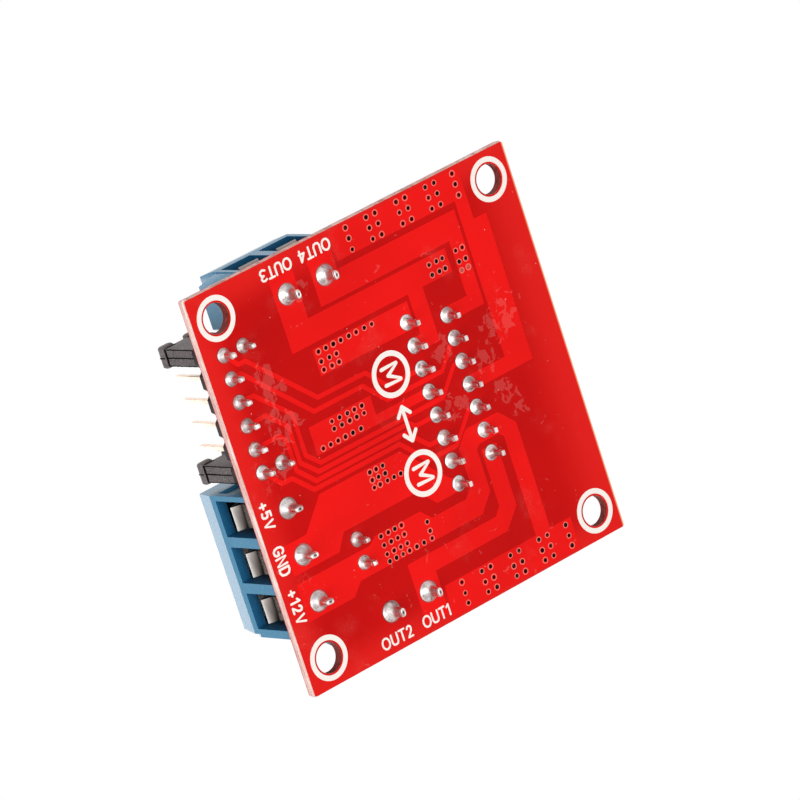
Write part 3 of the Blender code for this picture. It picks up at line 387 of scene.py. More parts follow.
class Paint:
    """One procedural material, laid out in millimetres of the whole module."""

    def __init__(self, name, **constants):
        self.material = bpy.data.materials.new(name)
        self.material.use_nodes = True
        self.tree = self.material.node_tree
        self.tree.nodes.clear()
        place = self.node("ShaderNodeTexCoord", output="Object")
        self.place = self.vector("SCALE", place, Scale=1000.0)
        constants = {name.replace("_", " "): value for name, value in constants.items()}
        self.shader = add_node(self.tree, "ShaderNodeBsdfPrincipled", None, constants)
        shown = {"Surface": self.shader.outputs[0]}
        self.surface = add_node(self.tree, "ShaderNodeOutputMaterial", None, shown).inputs["Surface"]

    def node(self, kind, settings=None, inputs=None, output=0):
        sockets = {name: value.socket if isinstance(value, Value) else value
                   for name, value in (inputs or {}).items()}
        return Value(self, add_node(self.tree, kind, settings, sockets).outputs[output])

    def vector(self, operation, first, second=None, **inputs):
        values = {0: first, **inputs}
        if second is not None:
            values[1] = second
        return self.node("ShaderNodeVectorMath", {"operation": operation}, values)

    def axes(self):
        return [self.node("ShaderNodeSeparateXYZ", None, {0: self.place}, axis) for axis in "XYZ"]

    def board_axes(self):
        """The distances u from the front edge and v from the right edge."""
        x, y, _ = self.axes()
        return y + HALF, HALF - x

    def stretched(self, x, y, z):
        return self.vector("MULTIPLY", self.place, (x, y, z))

    def noise(self, scale, detail=3.0, rough=0.5, place=None, distortion=0.0, output=0):
        inputs = {"Vector": place or self.place, "Scale": scale, "Detail": detail,
                  "Roughness": rough, "Distortion": distortion}
        return self.node("ShaderNodeTexNoise", None, inputs, output)

    def cells(self, scale, place=None, feature="F1"):
        inputs = {"Vector": place or self.place, "Scale": scale}
        return self.node("ShaderNodeTexVoronoi", {"feature": feature}, inputs, "Distance")

    def colour(self, share, first, second):
        return self.node("ShaderNodeMix", {"data_type": "RGBA"}, {0: share, 6: first, 7: second}, 2)

    def ramp(self, share, *stops):
        """Colours along a share, from (share, colour) stops."""
        made = add_node(self.tree, "ShaderNodeValToRGB", None, {0: share.socket})
        elements = made.color_ramp.elements
        while len(elements) < len(stops):
            elements.new(0.5)
        for element, (place, colour) in zip(elements, stops):
            element.position = place
            element.color = colour
        return Value(self, made.outputs[0])

    def bump(self, height, strength, distance):
        inputs = {"Height": height, "Strength": strength, "Distance": distance * MM}
        return self.node("ShaderNodeBump", None, inputs)

    def wear(self, **inputs):
        """Links what changes over the surface to the shader, and gives the material."""
        for name, value in inputs.items():
            self.tree.links.new(value.socket, self.shader.inputs[name.replace("_", " ")])
        return self.material


def smudged(u, v, spots):
    """How near a place is to any of the spots (u, v, reach)."""
    total = None
    for at_u, at_v, reach in spots:
        away = ((u - at_u) ** 2.0 + (v - at_v) ** 2.0) ** 0.5
        near = away.step(reach, reach * 0.35)
        total = near if total is None else total.most(near)
    return total


# Where flux has dried and where it has foamed, as (u, v, reach)
FLUX_SPOTS = ((6.6, 11.5, 3.2), (6.4, 16.2, 3.4), (4.8, 19.6, 2.0), (34.6, 17.4, 2.9),
              (36.8, 16.4, 3.0), (33.0, 19.8, 2.4), (28.0, 16.8, 2.2), (27.4, 23.0, 2.6),
              (33.9, 24.0, 2.4), (34.9, 26.2, 1.8), (13.5, 4.4, 1.6))
FOAM_SPOTS = ((3.0, 21.2, 1.8), (2.2, 19.0, 1.6), (3.4, 31.8, 1.5), (35.4, 16.2, 1.8))


def mask_paint(name, base, edge=None):
    """Solder mask, with dried flux in crisp lacy films and rings round the hand-soldered joints."""
    paint = Paint(name, IOR=1.5, Specular_IOR_Level=0.09)
    u, v = paint.board_axes()
    broad = paint.noise(0.09, 2.0)
    colour = paint.colour(broad.step(0.35, 0.7), base, mixed(base, (0.0, 0.0, 0.0, 1.0), 0.1))
    if edge is not None:
        # Painted light: near the board's edges and towards the heat-sink end the bare mask is painted
        # lighter, in the edge colour; a thin pale orange line follows along the heat-sink edge.
        inward = u.least(2 * HALF - u).least(v).least(2 * HALF - v)
        painted_edge_light = inward.step(4.2, 0.2).most(u.step(36.0, 42.6))
        colour = paint.colour(painted_edge_light * (0.82 + broad * 0.3), colour, edge)
        colour = paint.colour(u.step(42.83, 42.9) * 0.75, colour, tint(255, 176, 128))
    under = paint.axes()[2].step(0.6, 0.4)
    near = smudged(u, v, FLUX_SPOTS) * under
    blotch = paint.noise(0.82, 4.0, 0.58, distortion=0.8) + near * 0.2 - 0.2
    drops = paint.cells(1.9).step(0.15, 0.18)
    film = blotch.step(0.5, 0.512) * drops * under
    outline = (1.0 - abs(blotch - 0.506) * 46.0).most(0.0) * under
    wobble = paint.noise(1.4, 2.0, output="Color")
    bent = paint.vector("ADD", paint.place, paint.vector("SCALE", wobble, Scale=0.9))
    foam = paint.cells(1.2, bent, "DISTANCE_TO_EDGE").step(0.05, 0.025)
    foam = foam * smudged(u, v, FOAM_SPOTS) * paint.noise(0.8, 3.0).step(0.42, 0.56) * under
    speck = paint.cells(0.8).step(0.055, 0.03) * paint.noise(0.35, 1.0).step(0.54, 0.6)
    light = mixed(base, tint(255, 190, 182), 0.5)
    colour = paint.colour((film * 0.15).most(outline * 0.24).most(foam * 0.18), colour, light)
    colour = paint.colour(speck * 0.75, colour, tint(252, 200, 190))
    haze = paint.noise(0.16, 3.0, 0.6).step(0.56, 0.72)
    hair = paint.noise(0.5, 2.0, 0.5, distortion=2.2)
    scratch = (1.0 - abs(hair - 0.5) * 130.0).most(0.0) * haze
    colour = paint.colour(scratch * 0.26 + haze * 0.03, colour, tint(250, 150, 140))
    rough = 0.3 + paint.noise(0.8, 3.0) * 0.1 + film * 0.22 + speck * 0.2
    height = paint.noise(2.6, 3.0) * 0.5 + film * 0.6 + speck
    return paint.wear(Base_Color=colour, Roughness=rough, Normal=paint.bump(height, 0.16, 0.03))


def laminate_paint(name):
    """Snapped glass-fibre edge: pale layers, streaks along the board, and red where the mask tore."""
    paint = Paint(name, IOR=1.5)
    layers = paint.noise(1.0, 4.0, 0.62, paint.stretched(0.4, 0.4, 8.0))
    grit = paint.noise(5.0, 3.0, 0.6)
    patch = paint.noise(0.5, 3.0, 0.6)
    colour = paint.ramp(layers * 0.6 + grit * 0.2 + patch * 0.25,
                        (0.38, tint(206, 140, 128)), (0.47, tint(238, 188, 178)),
                        (0.55, tint(250, 212, 203)), (0.66, tint(255, 238, 230)))
    x, _, z = paint.axes()
    stained = z.step(0.08, 0.02).most(z.step(0.9, 0.98)) * paint.noise(1.4, 3.0).step(0.35, 0.6)
    colour = paint.colour(stained * 0.6, colour, tint(224, 44, 36))
    torn_side = x.step(HALF - 0.3, HALF - 0.2) * paint.noise(0.9, 4.0, 0.65).step(0.5, 0.62)
    colour = paint.colour(torn_side * 0.55, colour, tint(168, 96, 84))
    return paint.wear(Base_Color=colour, Roughness=0.7 + grit * 0.2,
                      Normal=paint.bump(layers + grit * 0.5, 0.6, 0.06))


def shaded_hole_wall_paint(name):
    """The bare wall of a routed hole, in dark reds far below the pale snapped edge of the same
    laminate: painted shade inside the hole.
    """
    paint = Paint(name, Specular_IOR_Level=0.2)
    fibres = paint.noise(2.0, 4.0, 0.6, paint.stretched(1.0, 1.0, 5.0))
    colour = paint.ramp(fibres, (0.34, tint(92, 24, 20)), (0.56, tint(136, 50, 43)),
                        (0.74, tint(186, 104, 92)))
    return paint.wear(Base_Color=colour, Roughness=0.65 + fibres * 0.2,
                      Normal=paint.bump(fibres, 0.6, 0.05))


def print_paint(name, base):
    """Screen-printed ink: a little thin and rough in places."""
    paint = Paint(name, IOR=1.45)
    thin = paint.noise(4.5, 3.0, 0.6).step(0.58, 0.78)
    colour = paint.colour(thin * 0.22, base, tint(246, 170, 158))
    return paint.wear(Base_Color=colour, Roughness=0.45 + thin * 0.2,
                      Normal=paint.bump(paint.noise(9.0, 2.0), 0.25, 0.01))


def solder_paint(name, base):
    """Bright solder with a pale wetted rim, satin patches, and dark resin in small pits."""
    paint = Paint(name, Metallic=1.0)
    _, _, z = paint.axes()
    satin = paint.noise(1.1, 4.0, 0.6)
    grain = paint.noise(5.0, 3.0, 0.55)
    pit = paint.noise(2.0, 5.0, 0.66).step(0.55, 0.62)
    inner = z.step(-0.2, -0.26) * z.step(-0.75, -0.35)
    colour = paint.colour(satin.step(0.42, 0.58), base, mixed(base, (0.2, 0.18, 0.18, 1.0), 0.55))
    colour = paint.colour(pit * 0.7 * (0.35 + inner * 0.65), colour, tint(104, 94, 92))
    colour = paint.colour(z.step(-0.19, -0.14) * 0.6, colour, tint(240, 238, 236))
    roughness = 0.3 + satin.step(0.36, 0.62) * 0.16 + grain * 0.06
    return paint.wear(Base_Color=colour, Roughness=roughness,
                      Normal=paint.bump(satin * 2.0 + grain * 0.2 + pit, 0.3, 0.05))


def plated_paint(name, base, dull, rough, drawn=(1.0, 1.0, 1.0), share=1.0):
    """Plated metal with drawing lines and mottled tarnish."""
    paint = Paint(name, Metallic=1.0)
    mottle = paint.noise(1.3, 4.0, 0.6)
    lines = paint.noise(6.0, 3.0, 0.6, paint.stretched(*drawn))
    colour = paint.colour(mottle.step(0.42, 0.68) * share, base, dull)
    roughness = rough + mottle.step(0.4, 0.7) * 0.12 * share + lines * 0.08
    return paint.wear(Base_Color=colour, Roughness=roughness,
                      Normal=paint.bump(lines + mottle * 0.5, 0.12, 0.02))


def cage_paint(name):
    """Pressed nickel cage: a polished curled lip with a painted highlight along its top edge that
    darkens down the lip into painted shade, darkest just before the fold, then a mottled darker foot,
    and plain nickel above the lip.
    """
    paint = Paint(name, Metallic=0.9)
    x, y, z = paint.axes()
    streaks = paint.noise(2.2, 4.0, 0.6, paint.stretched(0.7, 0.7, 2.0))
    mottle = paint.noise(4.0, 4.0, 0.7)
    inward = (LIP_REACH - (0.0 - y).most(abs(x))) * LIP_SLOPE
    along = inward.most(0.0) + LIP_TOP - z + (streaks - 0.5) * 0.25
    below = z.step(LIP_TOP + 0.2, LIP_TOP)
    past_fold = along.step(LIP_FOLD, LIP_FOLD + 0.1)
    # Painted highlight and painted shade: pale at the lip's top edge, darkening to near black just
    # before the fold.
    curl = paint.ramp(along / 4.0,
                      (0.0, tint(182, 178, 175)), (0.06, tint(158, 153, 149)),
                      (0.2, tint(124, 118, 114)), (0.35, tint(92, 85, 81)),
                      (0.44, tint(56, 49, 46)), (0.49, tint(30, 26, 24)))
    foot = paint.colour(mottle.step(0.42, 0.62), tint(122, 115, 109), tint(72, 66, 63))
    colour = paint.colour(past_fold, curl, foot)
    colour = paint.colour(below, tint(196, 192, 188), colour)
    return paint.wear(Base_Color=colour, Roughness=0.3 + mottle * 0.06 + past_fold * below * 0.2,
                      Normal=paint.bump(streaks + mottle * 0.5, 0.16, 0.03))


def plastic_paint(name, base, worn, rough, grain, relief, coat=0.0, mottle=0.12, level=0.5):
    """Moulded plastic: slow colour change, fine grain and a few pale rubs."""
    paint = Paint(name, IOR=1.5, Coat_Weight=coat, Coat_Roughness=0.2, Specular_IOR_Level=level)
    slow = paint.noise(0.25, 2.0)
    fine = paint.noise(grain, 4.0, 0.6)
    rub = paint.noise(1.2, 4.0, 0.65, paint.stretched(1.0, 0.3, 1.0)).step(0.62, 0.76)
    colour = paint.colour(slow.step(0.3, 0.7) * 0.3, base, worn)
    colour = paint.colour((rub * 0.25 + fine.step(0.45, 0.65) * mottle).least(1.0), colour, worn)
    return paint.wear(Base_Color=colour, Roughness=rough + fine * 0.12 + rub * 0.08,
                      Normal=paint.bump(fine, relief, 0.03))


def can_paint(name, base):
    """A drawn aluminium can: satin side, plain brushed top with its dark polarity segment."""
    paint = Paint(name, Metallic=1.0)
    x, _, z = paint.axes()
    brushed = paint.noise(3.0, 3.0, 0.6, paint.stretched(1.0, 1.0, 8.0))
    aside = (abs(x) - CAN_PLACE).step(SEGMENT, SEGMENT + 0.06)
    segment = aside * z.step(SEGMENT_HEIGHT, SEGMENT_HEIGHT + 0.05)
    colour = paint.colour(brushed.step(0.3, 0.7), base, mixed(base, (0.3, 0.3, 0.31, 1.0), 0.25))
    colour = paint.colour(segment, colour, tint(34, 36, 44))
    return paint.wear(Base_Color=colour, Roughness=0.26 + brushed * 0.18,
                      Metallic=1.0 - segment * 0.9, Normal=paint.bump(brushed, 0.15, 0.02))


def dark_paint(name, base, fleck):
    """Dull near-black with a few paler specks: the painted shade of an open via's shallow dish, whose
    specks are painted glints, and the dark moulding lines and painted shade of a jumper cap.
    """
    paint = Paint(name, Specular_IOR_Level=0.03)
    flecks_and_glints = paint.noise(4.0, 3.0, 0.6)
    return paint.wear(Base_Color=paint.colour(flecks_and_glints.step(0.56, 0.72) * 0.5, base, fleck),
                      Roughness=0.6 + flecks_and_glints * 0.3)


def shaded_inside_paint(name, base, deep):
    """The terminals' plastic inside their windows, with painted shade: darker the farther in it lies,
    unevenly.
    """
    paint = Paint(name, IOR=1.5, Specular_IOR_Level=0.2)
    x, y, _ = paint.axes()
    depth = WIRE_FACE - (0.0 - y).most(abs(x))
    fine = paint.noise(4.0, 4.0, 0.6)
    shade_wobble = paint.noise(0.9, 3.0, 0.6)
    # Painted shade: a darker blue that deepens towards near black farther into the window.
    colour = paint.colour((depth + shade_wobble * 1.2).step(0.6, 3.6), base, deep)
    colour = paint.colour(fine.step(0.58, 0.7) * 0.12, colour, tint(120, 160, 180))
    return paint.wear(Base_Color=colour, Roughness=0.34 + fine * 0.14,
                      Normal=paint.bump(fine, 0.1, 0.03))


def floor_paint(name, base):
    """Pale card that a camera under it sees through."""
    paint = Paint(name)
    speckle = paint.noise(0.05, 3.0)
    colour = paint.colour(speckle.step(0.3, 0.7), base, mixed(base, (1.0, 1.0, 1.0, 1.0), 0.4))
    back = paint.node("ShaderNodeNewGeometry", output="Backfacing")
    glass = paint.node("ShaderNodeBsdfTransparent")
    card = Value(paint, paint.shader.outputs[0])
    shown = paint.node("ShaderNodeMixShader", None, {0: back, 1: card, 2: glass})
    paint.tree.links.new(shown.socket, paint.surface)
    return paint.wear(Base_Color=colour, Roughness=0.7 + speckle * 0.2)


PAINTS = {}


def paints():
    """Every finish of the module, mixed once from the panel's colours."""
    if PAINTS:
        return PAINTS
    looks = bpy.context.scene.module_colours
    bare, copper, edge = tuple(looks.mask), tuple(looks.copper), tuple(looks.mask_edge)
    blue, black = tuple(looks.terminal), tuple(looks.header)
    PAINTS.update({
        "mask": mask_paint("bare_solder_mask", bare, edge),
        "copper": mask_paint("masked_copper", copper),
        "laminate": laminate_paint("snapped_laminate"),
        "drilled": shaded_hole_wall_paint("drilled_laminate"),
        "print": print_paint("white_print", tuple(looks.legend)),
        "rim": print_paint("via_rim", tint(238, 122, 108)),
        # Painted shade: a near-black dish, with paler specks as painted glints, stands in for the dark
        # inside of an open via.
        "bore": dark_paint("via_bore", tint(14, 6, 6), tint(120, 112, 112)),
        # Near-black for the caps' parting lines and for the painted shade at their corners and under
        # their collars.
        "seam_and_shade": dark_paint("cap_seam", tint(14, 12, 12), tint(52, 48, 48)),
        # Painted shade for the terminals' plastic inside their windows.
        "inside": shaded_inside_paint("terminal_inside", mixed(blue, tint(4, 66, 112), 0.7), tint(4, 18, 32)),
        "filled": print_paint("filled_via", tint(196, 70, 62)),
        "solder": solder_paint("bright_solder", tuple(looks.solder)),
        "tinned": plated_paint("tinned_lead", tint(232, 228, 226), tint(176, 160, 156), 0.16,
                               drawn=(1.0, 1.0, 0.2)),
        # Cut ends of the terminals' lead cores, and the painted shade of the dark pad rims round the
        # joints.
        "core_and_shade_ring": plated_paint("cut_lead_core", tint(112, 98, 94), tint(70, 60, 58), 0.4),
        "pin": plated_paint("gilt_pin", tint(236, 214, 196), tint(206, 172, 152), 0.24,
                            drawn=(1.0, 1.0, 0.1), share=0.6),
        "nickel": cage_paint("nickel_cage"),
        "screw": plated_paint("nickel_screw", tint(190, 189, 187), tint(146, 144, 140), 0.22,
                              share=0.6),
        "chip_tab": plated_paint("tab_copper", tint(198, 195, 192), tint(164, 159, 156), 0.26,
                                 drawn=(1.0, 1.0, 0.3), share=0.5),
        "terminal": plastic_paint("terminal_blue", blue, mixed(blue, tint(140, 192, 222), 0.25),
                                  0.2, 4.0, 0.03, mottle=0.1, level=0.35),
        "header": plastic_paint("header_black", black, tint(56, 52, 51), 0.5, 8.0, 0.2, level=0.12),
        "cap": plastic_paint("cap_black", tint(82, 75, 76), tint(146, 136, 136), 0.55, 7.0, 0.5,
                             mottle=0.7, level=0.3),
        "epoxy": plastic_paint("epoxy_black", tint(34, 34, 36), tint(64, 64, 66), 0.5, 10.0, 0.35),
        "sink": plastic_paint("sink_black", tint(24, 24, 26), tint(52, 52, 54), 0.36, 12.0, 0.3),
        "base": plastic_paint("can_base", tint(30, 30, 32), tint(60, 60, 62), 0.4, 8.0, 0.2),
        "can": can_paint("drawn_can", tint(188, 190, 194)),
        "lamp": plastic_paint("lamp_red", tint(206, 40, 34), tint(240, 150, 140), 0.2, 4.0, 0.05,
                              coat=0.6),
        "resistor": plastic_paint("resistor_black", tint(26, 26, 28), tint(58, 58, 60), 0.3, 8.0,
                                  0.1),
    })
    return PAINTS


# Shapes, in millimetres

def loft(rings, closed=True):
    """A closed solid through rings of equal length, capped at both ends."""
    shape = bmesh.new()
    rows = [[shape.verts.new(point) for point in ring] for ring in rings]
    for low, high in zip(rows, rows[1:]):
        for i in range(len(low)):
            j = (i + 1) % len(low)
            shape.faces.new((low[i], low[j], high[j], high[i]))
    if closed:
        shape.faces.new(list(reversed(rows[0])))
        shape.faces.new(rows[-1])
    bmesh.ops.recalc_face_normals(shape, faces=shape.faces)
    return shape


def welded(shape, distance):
    """Joins the points of a shape that meet, and turns its faces outward."""
    bmesh.ops.remove_doubles(shape, verts=shape.verts, dist=distance)
    bmesh.ops.recalc_face_normals(shape, faces=shape.faces)
    return shape


def hollow(profile, count, centre=(0.0, 0.0)):
    """A ring round an upright axis, from the closed outline of its section as (radius, height)."""
    rings = [level(circle(radius, count, centre), height) for radius, height in profile]
    return welded(loft(rings + rings[:1], closed=False), 1e-5)


def turned(profile, count, centre=(0.0, 0.0)):
    """A solid of revolution about an upright axis, from (radius, height) pairs."""
    return loft([level(circle(radius, count, centre), height) for radius, height in profile])


def level(points, height):
    return [(p[0], p[1], height) for p in points]


def prism(points, low, high):
    return loft([level(points, low), level(points, high)])


def circle(radius, count, centre=(0.0, 0.0)):
    steps = [math.tau * i / count for i in range(count)]
    return [(centre[0] + radius * math.cos(a), centre[1] + radius * math.sin(a)) for a in steps]


def rectangle(x0, y0, x1, y1):
    return [(x0, y0), (x1, y0), (x1, y1), (x0, y1)]


def on_board(u, v):
    """The place on the board of a spot measured from its front and right edges."""
    return (HALF - v, u - HALF)


def all_on_board(spots):
    return [on_board(u, v) for u, v in spots]


def arc(centre, radius, first, sweep, steps):
    """Places round a centre, one for each share of the sweep that steps names."""
    angles = [first + sweep * share for share in steps]
    return [centre + Vector((math.cos(angle), math.sin(angle))) * radius for angle in angles]


def ribbon(points, width):
    """The outline of a stroke of one width, with round ends and round outer corners."""
    points = [Vector(p) for p in points]
    half = width / 2
    outline = []
    for way in (points, points[::-1]):
        steps = [(b - a).normalized() for a, b in zip(way, way[1:])]
        normals = [Vector((-s.y, s.x)) * half for s in steps]
        outline.append(way[0] + normals[0])
        for i in range(1, len(way) - 1):
            before, after = normals[i - 1], normals[i]
            turn = steps[i - 1].cross(steps[i])
            if turn > 0 or abs(turn) < 1e-3:
                middle = (before + after) / 2
                reach = half * half / max(middle.length_squared, half * half * 0.2)
                outline.append(way[i] + middle * reach)
            else:
                sweep = before.angle(after)
                count = max(1, round(sweep / CORNER_STEP))
                outline += arc(way[i], half, math.atan2(before.y, before.x), -sweep,
                               [k / count for k in range(count + 1)])
        last = normals[-1]
        outline.append(way[-1] + last)
        outline += arc(way[-1], half, math.atan2(last.y, last.x), -math.pi,
                       [k / (TIP_POINTS + 1) for k in range(1, TIP_POINTS + 1)])
    return [(p.x, p.y) for p in outline]


def mesh_from(name, shape, scale=1.0):
    mesh = bpy.data.meshes.new(name)
    bmesh.ops.scale(shape, vec=(scale, scale, scale), verts=shape.verts)
    shape.to_mesh(mesh)
    shape.free()
    return mesh


def in_scene(name, data):
    made = bpy.data.objects.new(name, data)
    bpy.context.scene.collection.objects.link(made)
    return made


def worked_out(made):
    """The mesh of an object as its modifiers leave it."""
    graph = bpy.context.evaluated_depsgraph_get()
    return bpy.data.meshes.new_from_object(made.evaluated_get(graph))


def shape_from(mesh):
    """The shape of a mesh that is no longer needed."""
    shape = bmesh.new()
    shape.from_mesh(mesh)
    bpy.data.meshes.remove(mesh)
    return shape


def gathered(shapes):
    """Several shapes in one, untouched."""
    whole = bmesh.new()
    for shape in shapes:
        mesh = mesh_from("loose", shape)
        whole.from_mesh(mesh)
        bpy.data.meshes.remove(mesh)
    return whole


def united(name, shapes, cuts=()):
    """The union of overlapping shapes, less the cuts, as one clean shape."""
    spare = bpy.data.collections.new("spare")
    bpy.context.scene.collection.children.link(spare)
    base = in_scene(name, mesh_from(name, shapes[0]))
    groups = (("UNION", shapes[1:]), ("DIFFERENCE", [gathered(cuts)] if cuts else []))
    for operation, members in groups:
        if not members:
            continue
        group = bpy.data.collections.new("operands")
        spare.children.link(group)
        for member in members:
            group.objects.link(bpy.data.objects.new("operand", mesh_from("operand", member)))
        modifier = base.modifiers.new("merge", "BOOLEAN")
        modifier.operation = operation
        modifier.operand_type = "COLLECTION"
        modifier.collection = group
        modifier.solver = "EXACT"
    shape = shape_from(worked_out(base))
    clear(base, *spare.all_objects)
    for group in (*spare.children, spare):
        bpy.data.collections.remove(group)
    bmesh.ops.remove_doubles(shape, verts=shape.verts, dist=1e-4)
    if not shape.faces:
        raise RuntimeError(f"{name} came out empty")
    return shape


def clear(*objects):
    for made in objects:
        mesh = made.data
        bpy.data.objects.remove(made)
        if mesh and not mesh.users:
            bpy.data.meshes.remove(mesh)


def creased(mesh):
    """Keeps the shallow fold between two level-edged faces crisp."""
    shape = bmesh.new()
    shape.from_mesh(mesh)
    for edge in shape.edges:
        if len(edge.link_faces) == 2:
            a, b = edge.verts
            flat = abs(a.co.z - b.co.z) < 0.02 * edge.calc_length()
            if flat and SHALLOWEST_FOLD < edge.calc_face_angle() < STEEPEST_FOLD:
                edge.smooth = False
    shape.to_mesh(mesh)
    shape.free()


def finished(name, shape, paint, body="root", slot=None, nodes=(), edge=0.0, segments=2, scale=MM,
             other=None):
    """Puts a shape in the scene at full size, rounds its edges, paints it and fastens it to its body.

    The other finish is a paint and a test that picks its faces by their middle, in millimetres.
    """
    mesh = mesh_from(name, shape, scale)
    made = in_scene(name, mesh)
    mesh.shade_smooth()
    if edge:
        mesh.set_sharp_from_angle(angle=ROUNDED_FROM)
        creased(mesh)
        modifier = made.modifiers.new("round", "BEVEL")
        modifier.width = edge * MM
        modifier.segments = segments
        modifier.limit_method = "ANGLE"
        modifier.angle_limit = ROUNDED_FROM
        modifier.harden_normals = True
        rounded = worked_out(made)
        made.modifiers.clear()
        made.data = rounded
        rounded.name = name
        bpy.data.meshes.remove(mesh)
    else:
        mesh.set_sharp_from_angle(angle=SHARP_FROM)
    made.data.materials.clear()
    made.data.materials.append(paints()[paint])
    if other:
        made.data.materials.append(paints()[other[0]])
        for face in made.data.polygons:
            face.material_index = int(other[1](face.center / MM))
    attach(made, body)
    if nodes:
        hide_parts(*nodes)
    return made


def halved(shape, height, **sides):
    """Cuts a shape at a height in millimetres, and drops the sides that are named."""
    geometry = [*shape.verts, *shape.edges, *shape.faces]
    return bmesh.ops.bisect_plane(shape, geom=geometry, plane_co=(0, 0, height * MM),
                                  plane_no=(0, 0, 1), **sides)


def copied(node, above=None):
    """A merged copy of a frame node, with flat faces whole again, less what lies under a height."""
    shape = bmesh.new()
    shape.from_mesh(frame["nodes"][node].data)
    bmesh.ops.remove_doubles(shape, verts=shape.verts, dist=1e-6)
    if above is not None:
        cut = halved(shape, above, clear_inner=True)
        rim = [e for e in cut["geom_cut"] if isinstance(e, bmesh.types.BMEdge)]
        bmesh.ops.contextual_create(shape, geom=rim)
        bmesh.ops.holes_fill(shape, edges=shape.edges)
    bmesh.ops.dissolve_limit(shape, angle_limit=FLAT, verts=shape.verts, edges=shape.edges)
    return shape


def dressed(node, paint, slot, edge, above=None, body="root", other=None):
    """A frame node with rounded edges and its real finish."""
    return finished(node + "_dressed", copied(node, above=above), paint, body, slot, [node], edge,
                    scale=1.0, other=other)


def box(node):
    """The lowest and the highest corner of a frame node, in millimetres."""
    low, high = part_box(node)
    return low / MM, high / MM


# Pieces

def torn(points, out, spacing, seed):
    """A closed outline cut into short steps and pushed in and out unevenly."""
    made = []
    for a, b in zip(points, points[1:] + points[:1]):
        a, b = Vector(a), Vector(b)
        count = max(1, round((b - a).length / spacing))
        across = Vector(((b - a).y, -(b - a).x)).normalized()
        for i in range(count):
            place = a.lerp(b, i / count)
            rough = noise.fractal(Vector((place.x * 1.3, place.y * 1.3, seed)), 1.0, 2.0, 4)
            made.append(place + across * min(out * (1.0 + 0.9 * rough), TORN_LIMIT))
    return made


def screw_holes(radius):
    """What the four screw holes cut out of the board."""
    return [prism(circle(radius, HOLE_SIDES, spot), -THICK, 2 * THICK) for spot in FIXING_SPOTS]


def mask_skin(name, outline, low, high):
    """One face's coat of solder mask, with the four screw holes in it."""
    skin = prism(torn(outline, out=0.012, spacing=0.5, seed=5.0), low, high)
    mask = united(name, [skin], screw_holes(HOLE + 0.02))
    finished("board_" + name, mask, "mask", **ON_BOARD)


class MODULE_OT_board(bpy.types.Operator):
    """Snapped laminate with its two mask skins and the bare walls of the four screw holes"""
    bl_idname = "driver_module.board"
    bl_label = "Board"

    def execute(self, context):
        near = HALF - 0.15
        outline = [(-near, -HALF), (near, -HALF), (HALF, -near), (HALF, near),
                   (near, HALF), (-near, HALF), (-HALF, near), (-HALF, -near)]
        snap = ((0.0, 0.0), (0.05, 0.005), (0.16, 0.02), (0.27, 0.05), (0.33, 0.095), (0.44, 0.1),
                (0.56, 0.1), (0.67, 0.095), (0.73, 0.05), (0.84, 0.02), (0.95, 0.005), (1.0, 0.0))
        rings = []
        for i, (height, out) in enumerate(snap):
            points = torn(outline, out, spacing=0.25, seed=i * 0.37)
            rings.append(level(points, SKIN + height * (THICK - 2 * SKIN)))
        laminate = united("board_laminate", [loft(rings)], screw_holes(HOLE))
        finished("board_laminate", laminate, "laminate", **ON_BOARD)
        mask_skin("mask_below", outline, -MASK, SKIN)
        mask_skin("mask_above", outline, THICK - SKIN, THICK + MASK)
        inner, outer, middle = HOLE - 0.015, HOLE + 0.005, THICK / 2
        wall = [(inner, 0.0), (inner, middle), (inner, THICK),
                (outer, THICK), (outer, middle), (outer, 0.0)]
        walls = [hollow(wall, HOLE_SIDES, spot) for spot in FIXING_SPOTS]
        # Painted shade: the walls of the screw holes are painted dark.
        finished("board_hole_walls", gathered(walls), "drilled", **ON_BOARD)
        return {"FINISHED"}


class MODULE_OT_copper(bpy.types.Operator):
    """Copper pours and traces that show through the mask of both faces"""
    bl_idname = "driver_module.copper"
    bl_label = "Copper"

    def execute(self, context):
        width = context.scene.module_sizes.trace_width / MM
        shapes = [prism(all_on_board(outline), -COPPER, 0.0) for outline in POURS.values()]
        shapes += [prism(ribbon(all_on_board(trace), width), -COPPER, 0.0) for trace in TRACES]
        finished("copper_below", united("copper_below", shapes), "copper", edge=0.012, segments=1,
                 **ON_BOARD)
        shapes = [prism(all_on_board(outline), THICK, THICK + COPPER) for outline in POURS_ABOVE]
        finished("copper_above", gathered(shapes), "copper", **ON_BOARD)
        return {"FINISHED"}


